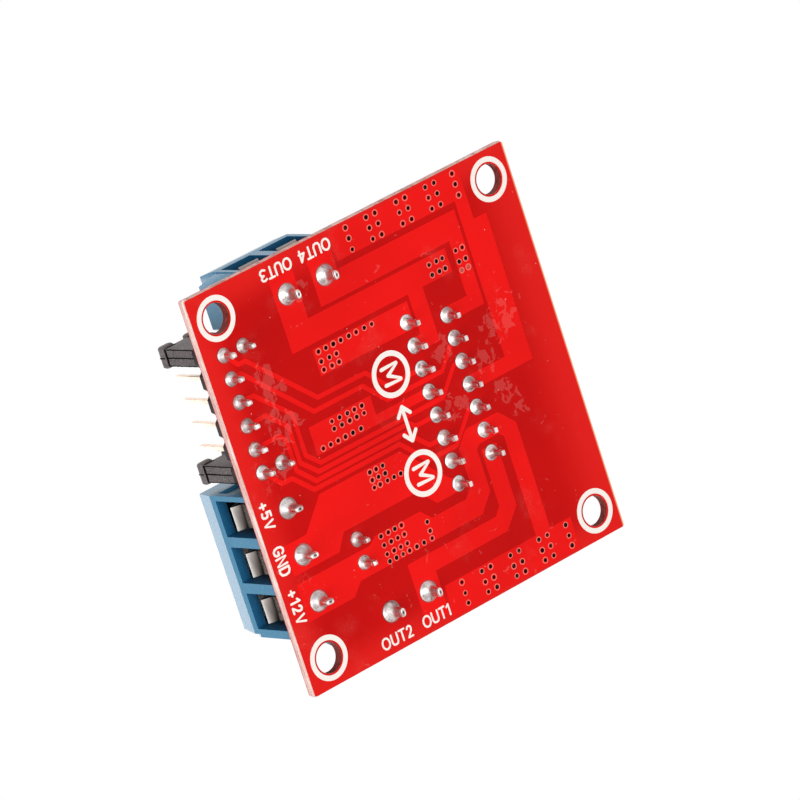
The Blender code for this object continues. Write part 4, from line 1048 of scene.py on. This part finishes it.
def strewn_tree():
    """Puts one small shape on every point, turned and sized a little unevenly."""
    tree = bpy.data.node_groups.new("small_shapes_on_points", "GeometryNodeTree")
    face = tree.interface
    for name, kind, default in (("Points", "Geometry", None), ("Shape", "Object", None),
                                ("Size", "Float", 1.0), ("Unevenness", "Float", 0.08),
                                ("Seed", "Int", 3), ("Finish", "Material", None)):
        made = face.new_socket(name, in_out="INPUT", socket_type="NodeSocket" + kind)
        if default is not None:
            made.default_value = default
    face.new_socket("Geometry", in_out="OUTPUT", socket_type="NodeSocketGeometry")

    def node(kind, settings=None, inputs=None):
        return add_node(tree, kind, settings, inputs)

    def maths(operation, first, second):
        return node("ShaderNodeMath", {"operation": operation}, {0: first, 1: second}).outputs[0]

    given = node("NodeGroupInput").outputs
    points = node("GeometryNodeMeshToPoints", inputs={"Mesh": given["Points"]})
    shape = node("GeometryNodeObjectInfo", inputs={"As Instance": True, "Object": given["Shape"]})
    least, most = (maths("MULTIPLY", given["Size"], maths(operation, 1.0, given["Unevenness"]))
                   for operation in ("SUBTRACT", "ADD"))
    size = node("FunctionNodeRandomValue", {"data_type": "FLOAT"},
                {2: least, 3: most, "Seed": given["Seed"]}).outputs[1]
    turn = node("FunctionNodeRandomValue", {"data_type": "FLOAT_VECTOR"},
                {0: (0.0, 0.0, 0.0), 1: (0.0, 0.0, math.tau), "Seed": given["Seed"]}).outputs[0]
    across = node("ShaderNodeCombineXYZ", inputs={"X": size, "Y": size, "Z": 1.0})
    placed = node("GeometryNodeInstanceOnPoints", inputs={
        "Points": points.outputs[0], "Instance": shape.outputs["Geometry"], "Rotation": turn,
        "Scale": across.outputs[0]})
    real = node("GeometryNodeRealizeInstances", inputs={0: placed.outputs[0]})
    coat = node("GeometryNodeSetMaterial", inputs={"Geometry": real.outputs[0],
                                                   "Material": given["Finish"]})
    node("NodeGroupOutput", inputs={0: coat.outputs[0]})
    return tree


def strewn(name, points, shape, paint, unevenness, seed):
    """A shape of the vias' size repeated at every point, as one plain mesh."""
    tree = bpy.data.node_groups.get("small_shapes_on_points") or strewn_tree()
    pattern = in_scene("pattern", mesh_from("pattern", shape))
    holder = in_scene("points", bpy.data.meshes.new("points"))
    holder.data.from_pydata(points, [], [])
    modifier = holder.modifiers.new("strew", "NODES")
    modifier.node_group = tree
    values = {"Shape": pattern, "Size": bpy.context.scene.module_sizes.via_size / MM,
              "Unevenness": unevenness, "Seed": seed, "Finish": paints()[paint]}
    for item in tree.interface.items_tree:
        if item.in_out == "INPUT" and item.name in values:
            modifier[item.identifier] = values[item.name]
    result = shape_from(worked_out(holder))
    clear(holder, pattern)
    if not result.faces:
        raise RuntimeError(f"{name} has no shapes")
    return finished(name, result, paint, **ON_BOARD)


class MODULE_OT_vias(bpy.types.Operator):
    """Small plated holes in the pours, most of them open and a few filled with solder"""
    bl_idname = "driver_module.vias"
    bl_label = "Vias"

    def execute(self, context):
        spots = level([on_board(u, v) for row, places in VIA_ROWS for v in row for u in places], 0.0)
        filled = level(all_on_board(FILLED_VIAS), 0.0)
        strewn("via_rims", spots + filled, hollow(VIA_RIM, 16), "rim", unevenness=0.1, seed=3)
        # Painted shade: a shallow near-black dish in each open via stands in for the dark inside of its
        # hole.
        strewn("via_bores", spots, turned(VIA_BORE, 14), "bore", unevenness=0.14, seed=5)
        strewn("via_plugs", filled, turned(VIA_PLUG, 14), "filled", unevenness=0.1, seed=7)
        return {"FINISHED"}


def legend(words, start, end, up, height):
    """The strokes of a line of characters, spread evenly between two spots of the board."""
    start, end, up = Vector(start), Vector(end), Vector(up)
    along = (end - start).normalized()
    widths = [STROKES[c][0] for c in words]
    space = ((end - start).length / height - sum(widths)) / max(1, len(words) - 1)
    lines = []
    cursor = 0.0
    for character in words:
        width, strokes = STROKES[character]
        for stroke in strokes:
            points = [start + along * ((cursor + x) * height) + up * (y * height) for x, y in stroke]
            lines.append([(p.x, p.y) for p in points])
        cursor += width + space
    return lines


def screw_hole_rings(face, top):
    """Printed rings round the four screw holes, from a face of the board out to the ink's top."""
    inner, outer = RING
    profile = [(inner, face), (inner, top), (outer, top), (outer, face)]
    return [hollow(profile, RING_SIDES, spot) for spot in FIXING_SPOTS]


def motor_sign(u, v, width):
    """A circled letter M, the sign of a motor, as its ring and the letter's strokes."""
    outer, inner = (all_on_board(circle(SIGN * share, 40, (u, v))) for share in (1.13, 0.87))
    ring = united("ring", [prism(outer, -PRINT, 0.0)], [prism(inner, -1.0, 1.0)])
    letter = legend("M", (u - 1.0, v - 0.85), (u - 1.0, v + 0.85), (1.0, 0.0), 2.0)
    return [ring, *(printed(points, width) for points in letter)]


def printed(points, width):
    """A printed stroke under the board along spots (u, v)."""
    return prism(ribbon(all_on_board(points), width), -PRINT, 0.0)


def frame_round(node):
    """The printed frame round a part on the component face, kept on the board."""
    low, high = box(node)
    most = HALF - FRAME_MARGIN
    x0, y0 = (max(place - FRAME_GAP, -most) for place in low.xy)
    x1, y1 = (min(place + FRAME_GAP, most) for place in high.xy)
    outer = rectangle(x0, y0, x1, y1)
    inner = rectangle(x0 + FRAME_LINE, y0 + FRAME_LINE, x1 - FRAME_LINE, y1 - FRAME_LINE)
    return united("outline", [prism(outer, THICK, THICK + PRINT_ABOVE)], [prism(inner, 0.0, 2.0)])


class MODULE_OT_legends(bpy.types.Operator):
    """White print: rings round the screw holes, pole legends and a plain two-motor symbol"""
    bl_idname = "driver_module.legends"
    bl_label = "Print"

    def execute(self, context):
        width = context.scene.module_sizes.print_width / MM
        bold = width * 1.7
        shapes = []
        for words, start, end, up, height, ink in LEGENDS:
            shapes += [printed(points, width * ink) for points in legend(words, start, end, up, height)]
        row, left, right = SIGNS
        for v in (left, right):
            shapes += motor_sign(row, v, bold)
        wide, long = BARB
        first, last = left + ARROW_START, right - ARROW_START
        shapes.append(printed([(row, first), (row, last)], bold))
        for tip, back in ((first, first + long), (last, last - long)):
            shapes.append(printed([(row - wide, back), (row, tip), (row + wide, back)], bold))
        below = united("print_below", shapes)
        rings = screw_hole_rings(0.0, -PRINT)
        finished("print_below", gathered([below, *rings]), "print", **ON_BOARD)
        nodes = ["power_terminal_housing", "left_terminal_housing", "right_terminal_housing",
                 "control_header_base", "supply_header_base", "regulator", "power_lamp", *DIODES,
                 "capacitor_base_1", "capacitor_base_2"]
        frames = [frame_round(node) for node in nodes]
        rings = screw_hole_rings(THICK, THICK + PRINT_ABOVE)
        finished("print_above", gathered([*frames, *rings]), "print", **ON_BOARD)
        return {"FINISHED"}


def soldered(spot, radius, depth, lead, profile, seed):
    """A joint that rises from its round pad and closes round the lead, a little uneven."""
    x, y = spot
    half_a, half_b = (half * 1.1 for half in lead)
    chance = random.Random(seed)
    phases = [chance.uniform(0, math.tau) for _ in range(3)]
    lean = (chance.uniform(-0.06, 0.06), chance.uniform(-0.06, 0.06))
    rings = []
    for i, (size, height) in enumerate(((1.0, 0.0), *eased(profile))):
        share = max(0.0, min(1.0, (1.0 - size) * 1.15)) ** 1.4
        z = SKIN if i == 0 else -COPPER - depth * height
        bulge = math.sin(math.pi * min(1.0, max(0.0, height)))
        ring = []
        for c, s in circle(1.0, JOINT_SIDES):
            a = math.atan2(s, c)
            uneven = 0.05 * math.sin(2 * a + phases[0]) + 0.03 * math.sin(3 * a + phases[1])
            wide = radius * size * (1.0 + bulge * uneven)
            narrow = 1.0 / ((abs(c) / half_a) ** 3 + (abs(s) / half_b) ** 3) ** (1 / 3)
            out = wide + (narrow - wide) * share
            ring.append((x + out * c + lean[0] * bulge, y + out * s + lean[1] * bulge, z))
        rings.append(ring)
    return loft(rings)


def wetted(spot, radius):
    """The dull outermost rim of a pad, where the mask opens round its joint, painted dark: painted
    shade round the joint.
    """
    return prism(circle(radius, 40, spot), -COPPER - 0.014, 0.01)


def eased(profile):
    """More (size, height) pairs along a smooth line through the given ones."""
    points = [profile[0], *profile, profile[-1]]
    made = []
    for a, b, c, d in zip(points, points[1:], points[2:], points[3:]):
        for k in range(EASED_PARTS):
            t = k / EASED_PARTS
            made.append(tuple(0.5 * (2 * q + (r - p) * t + (2 * p - 5 * q + 4 * r - s) * t * t
                                     + (3 * q - p - 3 * r + s) * t ** 3)
                              for p, q, r, s in zip(a, b, c, d)))
    return [*made, profile[-1]]


def lead_end(spot, half, low, high, taper, tip, sides=8, dimple=0.0):
    """A straight lead whose lower end narrows to its cut tip, with broken or round corners."""
    x, y = spot
    across, along = half

    def eight_sided(a, b):
        c = min(a, b) * 0.22
        corners = [(a - c, -b), (a, c - b), (a, b - c), (a - c, b)]
        return corners + [(-p, -q) for p, q in corners]

    def rounded(a, b):
        return [(a * math.copysign(abs(c) ** 0.7, c), b * math.copysign(abs(s) ** 0.7, s))
                for c, s in circle(1.0, sides)]

    rings = [(tip, low), ((tip + 1) / 2 + 0.03, low + taper * 0.3), (1.0, low + taper), (1.0, high)]
    if dimple:
        hollowed = [(0.35, 1.0), (0.6, 0.9), (0.72, 0.0)]
        rings = [*((tip * wide, low + dimple * deep) for wide, deep in hollowed), *rings]
    section = eight_sided if sides == 8 else rounded
    return loft([[(x + p, y + q, z) for p, q in section(across * scale, along * scale)]
                 for scale, z in rings])


# How joints narrow as they rise: pairs of a share of the pad's radius and of the joint's depth
HEADER_RISE = ((1.0, 0.0), (0.98, 0.05), (0.93, 0.16), (0.82, 0.36), (0.66, 0.55), (0.52, 0.74),
               (0.44, 0.9), (0.39, 1.05), (0.33, 1.35), (0.28, 1.75), (0.24, 2.0))
TERMINAL_RISE = ((1.0, 0.0), (0.985, 0.05), (0.93, 0.16), (0.8, 0.34), (0.64, 0.52), (0.5, 0.7),
                 (0.4, 0.88), (0.36, 1.0), (0.31, 1.25), (0.27, 1.5), (0.24, 1.68))
CHIP_RISE = ((1.0, 0.0), (0.98, 0.05), (0.9, 0.16), (0.76, 0.34), (0.6, 0.54), (0.48, 0.74),
             (0.4, 0.9), (0.37, 1.0), (0.33, 1.25), (0.28, 1.6), (0.25, 1.9))


def tinned(name, shapes, paint, nodes):
    """Several shapes painted with one paint, as one piece."""
    finished(name, gathered(shapes), paint, slot="tinned", nodes=nodes)


def joint_row(name, spots, nodes, pad, depth, lead, rise, seed):
    """The solder joints of a row of leads, each a little different."""
    joints = [soldered(spot, pad, depth, lead, rise, seed + i) for i, spot in enumerate(spots)]
    tinned(name + "_joints", joints, "solder", nodes)


def shade_ring_row(name, spots, nodes, pad):
    """The rims of the pads of a row of leads, dark as painted shade round their joints."""
    tinned(name + "_joint_rims", [wetted(spot, pad) for spot in spots], "core_and_shade_ring", nodes)


class MODULE_OT_joints(bpy.types.Operator):
    """Solder joints under the board, with the tinned ends of the leads standing out of them"""
    bl_idname = "driver_module.joints"
    bl_label = "Solder joints"

    def execute(self, context):
        joint_row("header", HEADER_SPOTS, HEADER_PINS, pad=0.76, depth=0.8, lead=(0.32, 0.32),
                  rise=HEADER_RISE, seed=10)
        shade_ring_row("header", HEADER_SPOTS, HEADER_PINS, pad=0.8)
        ends = [lead_end(spot, (0.3, 0.3), -2.1, LEAD_CUT, taper=0.36, tip=0.42)
                for spot in HEADER_SPOTS]
        tinned("header_pin_ends", ends, "tinned", HEADER_PINS)

        for block, spots in TERMINALS.items():
            name = block + "_terminal"
            nodes = [f"{name}_contact_{i + 1}" for i in range(len(spots))]
            low = box(nodes[0])[0].z
            half = (0.3, 0.5) if block == "power" else (0.5, 0.3)
            shade_ring_row(name, spots, nodes, pad=1.15)
            joint_row(name, spots, nodes, pad=1.1, depth=1.1, lead=half, rise=TERMINAL_RISE, seed=40)
            ends = [lead_end(spot, half, low, LEAD_CUT, taper=0.2, tip=0.78, sides=20, dimple=0.05)
                    for spot in spots]
            tinned(name + "_pin_ends", ends, "tinned", nodes)
            oval = [(half[0] * 0.36 * c, half[1] * 0.36 * s) for c, s in circle(1.0, 16)]
            cores = [prism([(x + a, y + b) for a, b in oval], low + 0.02, low + 0.06)
                     for x, y in spots]
            tinned(name + "_pin_cores", cores, "core_and_shade_ring", nodes)

        nodes = ["driver_chip_body"]
        low = box(nodes[0])[0].z
        shade_ring_row("driver_chip", CHIP_SPOTS, nodes, pad=0.86)
        joint_row("driver_chip", CHIP_SPOTS, nodes, pad=0.82, depth=0.85, lead=(0.33, 0.24),
                  rise=CHIP_RISE, seed=70)
        ends = [lead_end(spot, (0.32, 0.24), low, LEAD_CUT, taper=0.22, tip=0.8)
                for spot in CHIP_SPOTS]
        tinned("driver_chip_lead_ends", ends, "tinned", nodes)
        return {"FINISHED"}


def on_cap(across, spot, x, y, z):
    """Turns a place on a jumper cap the way that the cap lies, and moves it to the cap's spot."""
    if across:
        x, y = -y, x
    return (x + spot[0], y + spot[1], z)


def cap_shape(across, low, high, spot):
    """A jumper cap: a slim body between two proud round-cornered collars, open at top and foot."""
    def block(x, y0, y1, z0, z1, corner, ease):
        rings = []
        for at, inset in ((-x, ease), (ease - x, 0.0), (x - ease, 0.0), (x, ease)):
            ring = []
            for side, (cy, cz) in enumerate(((y1, z1), (y0, z1), (y0, z0), (y1, z0))):
                inward_y, inward_z = (1 if cy == y0 else -1), (1 if cz == z0 else -1)
                reach = corner + inset
                for step in range(4):
                    a = math.pi / 2 * (side + step / 3)
                    y = cy + inward_y * reach + corner * math.cos(a)
                    z = cz + inward_z * reach + corner * math.sin(a)
                    ring.append(on_cap(across, spot, at, y, z))
            rings.append(ring)
        return welded(loft(rings), 1e-4)

    shapes = [block(CAP_SIDE, -CAP_END, CAP_END, low, high - 0.75, corner=0.06, ease=0.12)]
    for y0, y1 in ((-COLLAR_END, COLLAR - COLLAR_END), (COLLAR_END - COLLAR, COLLAR_END)):
        shapes.append(block(COLLAR_SIDE, y0, y1, high - 0.95, high, corner=0.3, ease=0.14))
    bore = block(BORE_SIDE, -BORE_END, BORE_END, low - 1.0, high + 1.0, corner=0.02, ease=0.02)
    return united("cap", shapes, [bore])


def cap_seams_and_shade_strips(across, low, high, spot, seed):
    """Dark strips on a jumper cap: a parting line down each narrow face and its collar, painted shade
    along the corners of the narrow faces and under the collars, and a line across each narrow face near
    its foot.
    """
    def strip(along, face, start, end, half, upright=False):
        """A ragged strip on a face: along is where it lies, start to end its reach."""
        count = max(4, round(abs(end - start) / 0.16))
        left, right = [], []
        for k in range(count + 1):
            place = start + (end - start) * k / count
            middle = along + 0.03 * noise.noise(Vector((place * 3.1, along, seed)))
            thick = half * (1.0 + 0.5 * noise.noise(Vector((place * 5.3, seed, along))))
            left.append((middle - thick, place))
            right.append((middle + thick, place))
        outline = left + right[::-1]
        if not upright:
            outline = [(b, a) for a, b in outline]
        rings = []
        for depth in (-0.03, 0.012):
            flat = face + math.copysign(1.0, face) * depth
            on_end = abs(face) > CAP_SIDE
            rings.append([on_cap(across, spot, *((a, flat) if on_end else (flat, a)), z)
                          for a, z in outline])
        return loft(rings)

    lines = []
    foot, shoulder, under = low + 0.05, high - 0.96, high - 1.08
    for side in (-1, 1):
        end = side * CAP_END
        # Painted shade: the strips along the corners and under the collars; the middle ones are parting
        # lines.
        lines += [strip(0.0, end, foot, shoulder, 0.075, upright=True),
                  strip(0.0, side * COLLAR_END, high - 0.9, high - 0.1, 0.07, upright=True),
                  strip(-0.87, end, foot, shoulder, 0.05, upright=True),
                  strip(0.87, end, foot, shoulder, 0.05, upright=True),
                  strip(under, end, -0.84, 0.84, 0.19),
                  strip(low + 0.1, end, -0.92, 0.92, 0.06),
                  strip(under, -CAP_SIDE, side * 0.85, side * 2.15, 0.19),
                  strip(under, CAP_SIDE, side * 0.85, side * 2.15, 0.19)]
    return lines


class MODULE_OT_headers(bpy.types.Operator):
    """Pin headers above the board and the three jumper caps"""
    bl_idname = "driver_module.headers"
    bl_label = "Headers and jumpers"

    def execute(self, context):
        for header in ("control_header_base", "enable_header_base_1", "enable_header_base_2",
                       "supply_header_base"):
            dressed(header, "header", "header_black", 0.06)
        pins = []
        for spot in HEADER_SPOTS:
            pin = lead_end(spot, (0.27, 0.27), -9.4, -LEAD_CUT, taper=0.4, tip=0.5)
            bmesh.ops.scale(pin, vec=(1.0, 1.0, -1.0), verts=pin.verts)
            bmesh.ops.recalc_face_normals(pin, faces=pin.faces)
            pins.append(pin)
        finished("header_pins", gathered(pins), "pin", slot="pin_gold", nodes=HEADER_PINS)
        seams_and_shade = []
        for i, node in enumerate(JUMPERS):
            low, high = box(node)
            across = high.x - low.x > high.y - low.y
            spot = (low + high).xy / 2
            shape = cap_shape(across, low.z, high.z, spot)
            finished(node + "_moulding", shape, "cap", slot="cap_black", nodes=[node])
            seams_and_shade += cap_seams_and_shade_strips(across, low.z, high.z, spot, i * 7.3 + 1.1)
        # Parting lines and painted shade of the three caps, as one piece.
        finished("jumper_seams", gathered(seams_and_shade), "seam_and_shade", slot="cap_black", nodes=JUMPERS)
        return {"FINISHED"}


def within_terminal(block):
    """Tells whether a face's middle lies inside a terminal's outer surfaces."""
    low, high = box(f"{block}_terminal_housing")

    def test(place):
        depth = min(*(place.xy - low.xy), *(high - place))
        return depth > max(0.0, place.z - WIRE_FACE_TOP) * WIRE_FACE_LEAN + WINDOW_WALL
    return test


class MODULE_OT_terminals(bpy.types.Operator):
    """Screw terminals: blue housings, slotted screws, rising cages and contact strips"""
    bl_idname = "driver_module.terminals"
    bl_label = "Screw terminals"

    def execute(self, context):
        for block, spots in TERMINALS.items():
            # The faces inside the windows take the inside paint's painted shade.
            dressed(f"{block}_terminal_housing", "terminal", "terminal_blue", 0.09,
                    other=("inside", within_terminal(block)))
            for i in range(1, len(spots) + 1):
                for part, paint, edge in (("screw", "screw", 0.05), ("cage", "nickel", 0.07)):
                    node = f"{block}_terminal_{part}_{i}"
                    dressed(node, paint, "nickel", edge, body=node)
                dressed(f"{block}_terminal_contact_{i}", "tinned", "tinned", 0.03, above=LEAD_CUT)
        return {"FINISHED"}


class MODULE_OT_driver(bpy.types.Operator):
    """Upright driver chip with its tab, finned heat sink and fastening screw"""
    bl_idname = "driver_module.driver"
    bl_label = "Driver chip and heat sink"

    def execute(self, context):
        node = "driver_chip_body"
        leads = copied(node, above=LEAD_CUT)
        package = leads.copy()
        for shape, upper in ((leads, False), (package, True)):
            halved(shape, PACKAGE_FOOT, clear_inner=upper, clear_outer=not upper)
            bmesh.ops.holes_fill(shape, edges=shape.edges)
        finished("driver_chip_package", package, "epoxy", slot="epoxy_black", nodes=[node],
                 edge=0.12, scale=1.0)
        finished("driver_chip_leads", leads, "chip_tab", slot="tinned", nodes=[node], edge=0.03,
                 scale=1.0)
        dressed("driver_chip_tab", "chip_tab", "tinned", 0.08)
        dressed("heat_sink", "sink", "sink_black", 0.07)
        dressed("heat_sink_screw", "screw", "nickel", 0.06)
        return {"FINISHED"}


def can_shape(node):
    """A capacitor's can: beaded above its foot, with a rolled rim round its flat top."""
    low, high = box(node)
    radius = (high.x - low.x) / 2
    wall = [(-0.5, 0.0), (-0.12, 0.12), (0.0, 0.35), (0.0, 0.95), (-0.12, 1.1), (-0.24, 1.32),
            (-0.24, 1.42), (-0.12, 1.62), (0.0, 1.8)]
    rim = [(0.0, -0.6), (-0.08, -0.32), (-0.25, -0.12), (-0.5, -0.02), (-0.7, 0.0), (-0.8, -0.03)]
    profile = [(radius + out, low.z + up) for out, up in wall]
    profile += [(radius + out, high.z + up) for out, up in rim]
    return turned([*profile, (0.02, high.z - 0.03)], 56, (low + high).xy / 2)


def diode_band(node):
    """The pale band that marks one end of a diode, printed on its top."""
    low, high = box(node)
    outward = 1.0 if low.x > 0 else -1.0
    middle = (low.x + high.x) / 2 + outward * (high.x - low.x) * 0.17
    outline = rectangle(middle - 0.22, low.y + 0.42, middle + 0.22, high.y - 0.42)
    return prism(outline, high.z - 0.01, high.z + 0.006)


class MODULE_OT_small_parts(bpy.types.Operator):
    """Capacitors, regulator, diodes, chip resistors and lamp"""
    bl_idname = "driver_module.small_parts"
    bl_label = "Small parts"

    def execute(self, context):
        for i in (1, 2):
            dressed(f"capacitor_base_{i}", "base", "header_black", 0.12)
            can = f"capacitor_can_{i}"
            finished(can + "_turned", can_shape(can), "can", slot="can_aluminium", nodes=[can])
        for node in ("regulator", *DIODES):
            dressed(node, "epoxy", "epoxy_black", 0.06)
        bands = [diode_band(node) for node in DIODES]
        finished("diode_bands", gathered(bands), "print", slot="board_red", nodes=DIODES)
        dressed("power_lamp", "lamp", "lamp_red", 0.08)
        bodies, ends = [], []
        for x in RESISTORS:
            bodies.append(prism(rectangle(x - 0.65, -0.42, x + 0.65, 0.82), THICK, THICK + 0.5))
            for start, end in ((-1.0, -0.62), (0.62, 1.0)):
                ends.append(prism(rectangle(x + start, -0.45, x + end, 0.85), THICK, THICK + 0.52))
        finished("resistor_bodies", gathered(bodies), "resistor", slot="epoxy_black",
                 nodes=["circuit_board"], edge=0.05)
        finished("resistor_ends", gathered(ends), "solder", slot="tinned", nodes=["circuit_board"],
                 edge=0.08)
        return {"FINISHED"}


def set_camera(scene, lens):
    """A long lens under the front of the board, looking up at the solder face."""
    data = bpy.data.cameras.new("camera")
    data.lens = lens
    data.sensor_width = 36.0
    data.clip_start = 0.05
    data.clip_end = 20.0
    right = (-0.300393, 0.738515, -0.603622)
    up = (0.920163, 0.391002, 0.020461)
    back = (0.251128, -0.549284, -0.797008)
    place = Vector((178.712, -386.918, -560.757)) * MM
    scene.camera = in_scene("camera", data)
    scene.camera.matrix_world = (Matrix.Translation(place)
                                 @ Matrix((right, up, back)).transposed().to_4x4())


def lay_floor():
    """A pale card under the module, which stays out of its light."""
    mesh = bpy.data.meshes.new("floor")
    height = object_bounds()[0][2]
    mesh.from_pydata(level(rectangle(-1.5, -1.5, 1.5, 1.5), height), [], [(0, 1, 2, 3)])
    mesh.materials.append(floor_paint("pale_floor", tint(250, 250, 250)))
    floor = in_scene("floor", mesh)
    for kind in ("diffuse", "glossy", "transmission", "shadow"):
        setattr(floor, "visible_" + kind, False)
    floor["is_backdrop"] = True


def surround(scene, dimmed):
    """White surroundings, dimmer for the rays that light the module than for the camera."""
    world = bpy.data.worlds.new("surroundings")
    scene.world = world
    world.use_nodes = True
    tree = world.node_tree
    tree.nodes.clear()
    rays = add_node(tree, "ShaderNodeLightPath").outputs
    seen = rays["Is Camera Ray"]
    for ray in ("Is Glossy Ray", "Is Transmission Ray"):
        either = add_node(tree, "ShaderNodeMath", {"operation": "MAXIMUM"}, {0: seen, 1: rays[ray]})
        seen = either.outputs[0]
    strength = add_node(tree, "ShaderNodeMapRange", None,
                        {"Value": seen, "To Min": dimmed, "To Max": 1.0})
    light = add_node(tree, "ShaderNodeBackground", None,
                     {"Color": (1.0, 1.0, 1.0, 1.0), "Strength": strength.outputs[0]})
    add_node(tree, "ShaderNodeOutputWorld", None, {"Surface": light.outputs[0]})


# Lamps round the module: place in metres, power in watts and width in metres
LAMPS = (
    ("lamp_below", (0.1, -0.35, -0.9), 6.0, 0.9),
    ("lamp_front", (0.0, -0.8, -0.4), 3.6, 0.8),
    ("lamp_above", (-0.24, 0.02, 0.87), 3.5, 0.85),
    ("lamp_behind", (-0.5, 0.5, 0.5), 3.0, 0.6),
    ("lamp_side", (0.6, 0.2, 0.6), 2.0, 0.6),
)


def hang_lamp(name, place, power, size):
    """A round soft lamp that faces the module."""
    data = bpy.data.lights.new(name, "AREA")
    data.shape = "DISK"
    data.size = size
    data.energy = power
    place = Vector(place)
    turn = (-place).to_track_quat("-Z", "Y").to_matrix().to_4x4()
    in_scene(name, data).matrix_world = Matrix.Translation(place) @ turn


class MODULE_OT_stage(bpy.types.Operator):
    """Camera, pale floor, white surroundings and soft lamps"""
    bl_idname = "driver_module.stage"
    bl_label = "Stage"

    def execute(self, context):
        scene = context.scene
        stage = scene.module_stage
        scene.view_settings.view_transform = "Standard"
        set_camera(scene, stage.lens)
        lay_floor()
        surround(scene, stage.surroundings)
        for name, place, power, size in LAMPS:
            hang_lamp(name, place, power * stage.lamp_level, size)
        return {"FINISHED"}


# Settings and panel

def colour_property(name, description, value):
    return FloatVectorProperty(name=name, description=description, default=value, size=4, min=0.0,
                               max=1.0, subtype="COLOR")


def length_property(name, description, value, least, most):
    return FloatProperty(name=name, description=description, default=value * MM, min=least * MM,
                         max=most * MM, unit="LENGTH", precision=5)


def share_property(name, description, value, most):
    return FloatProperty(name=name, description=description, default=value, min=0.0, max=most,
                         subtype="FACTOR")


class MODULE_PG_colours(bpy.types.PropertyGroup):
    """Colours of the module's finishes"""
    mask: colour_property("Solder mask", "Mask over bare laminate", tint(203, 10, 9))
    # Painted light: the lighter colour that the bare mask is painted near the board's edges.
    mask_edge: colour_property("Mask near edges", "Mask where light comes through the rim",
                               tint(230, 30, 26))
    copper: colour_property("Masked copper", "Mask where copper lies under it", tint(245, 22, 20))
    legend: colour_property("Print", "Screen-printed ink", tint(253, 245, 237))
    solder: colour_property("Solder", "Fresh solder", tint(214, 210, 208))
    terminal: colour_property("Terminal", "Plastic of the screw terminals", tint(58, 137, 176))
    header: colour_property("Header", "Plastic of the pin headers", tint(28, 25, 25))


class MODULE_PG_sizes(bpy.types.PropertyGroup):
    """Sizes of what is printed or etched"""
    trace_width: length_property("Trace width", "Width of the signal traces", 0.5, 0.2, 1.0)
    print_width: length_property("Print width", "Width of the printed strokes", 0.24, 0.1, 1.0)
    via_size: length_property("Via size", "Outer width of a via's rim", 0.68, 0.2, 2.0)


class MODULE_PG_stage(bpy.types.PropertyGroup):
    """Camera and light"""
    lens: FloatProperty(name="Lens", description="Focal length of the camera", default=312.47,
                        min=10.0, max=1000.0)
    lamp_level: share_property("Lamps", "Share of the soft lamps' full power", 1.0, 4.0)
    surroundings: share_property("Surroundings", "Strength of the white surroundings", 0.3, 2.0)


class MODULE_PT_panel(bpy.types.Panel):
    """Settings and steps of the driver module"""
    bl_idname = "VIEW3D_PT_driver_module"
    bl_label = "Driver module"
    bl_space_type = "VIEW_3D"
    bl_region_type = "UI"
    bl_category = "Driver module"

    def draw(self, context):
        scene = context.scene
        for group in (scene.module_colours, scene.module_sizes, scene.module_stage):
            box = self.layout.box()
            for name in group.__annotations__:
                box.prop(group, name)
        for operator in OPERATORS:
            self.layout.operator(operator.bl_idname)


OPERATORS = (MODULE_OT_board, MODULE_OT_copper, MODULE_OT_vias, MODULE_OT_legends, MODULE_OT_joints,
             MODULE_OT_headers, MODULE_OT_terminals, MODULE_OT_driver, MODULE_OT_small_parts,
             MODULE_OT_stage)
CLASSES = (MODULE_PG_colours, MODULE_PG_sizes, MODULE_PG_stage, MODULE_PT_panel, *OPERATORS)


def register():
    for made in CLASSES:
        bpy.utils.register_class(made)
    bpy.types.Scene.module_colours = PointerProperty(type=MODULE_PG_colours)
    bpy.types.Scene.module_sizes = PointerProperty(type=MODULE_PG_sizes)
    bpy.types.Scene.module_stage = PointerProperty(type=MODULE_PG_stage)


def unregister():
    for name in ("module_stage", "module_sizes", "module_colours"):
        delattr(bpy.types.Scene, name)
    for made in reversed(CLASSES):
        bpy.utils.unregister_class(made)


def main():
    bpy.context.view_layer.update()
    register()
    for step in ("board", "copper", "vias", "legends", "joints", "headers", "terminals", "driver",
                 "small_parts", "stage"):
        getattr(bpy.ops.driver_module, step)()


if __name__ == "__main__":
    main()
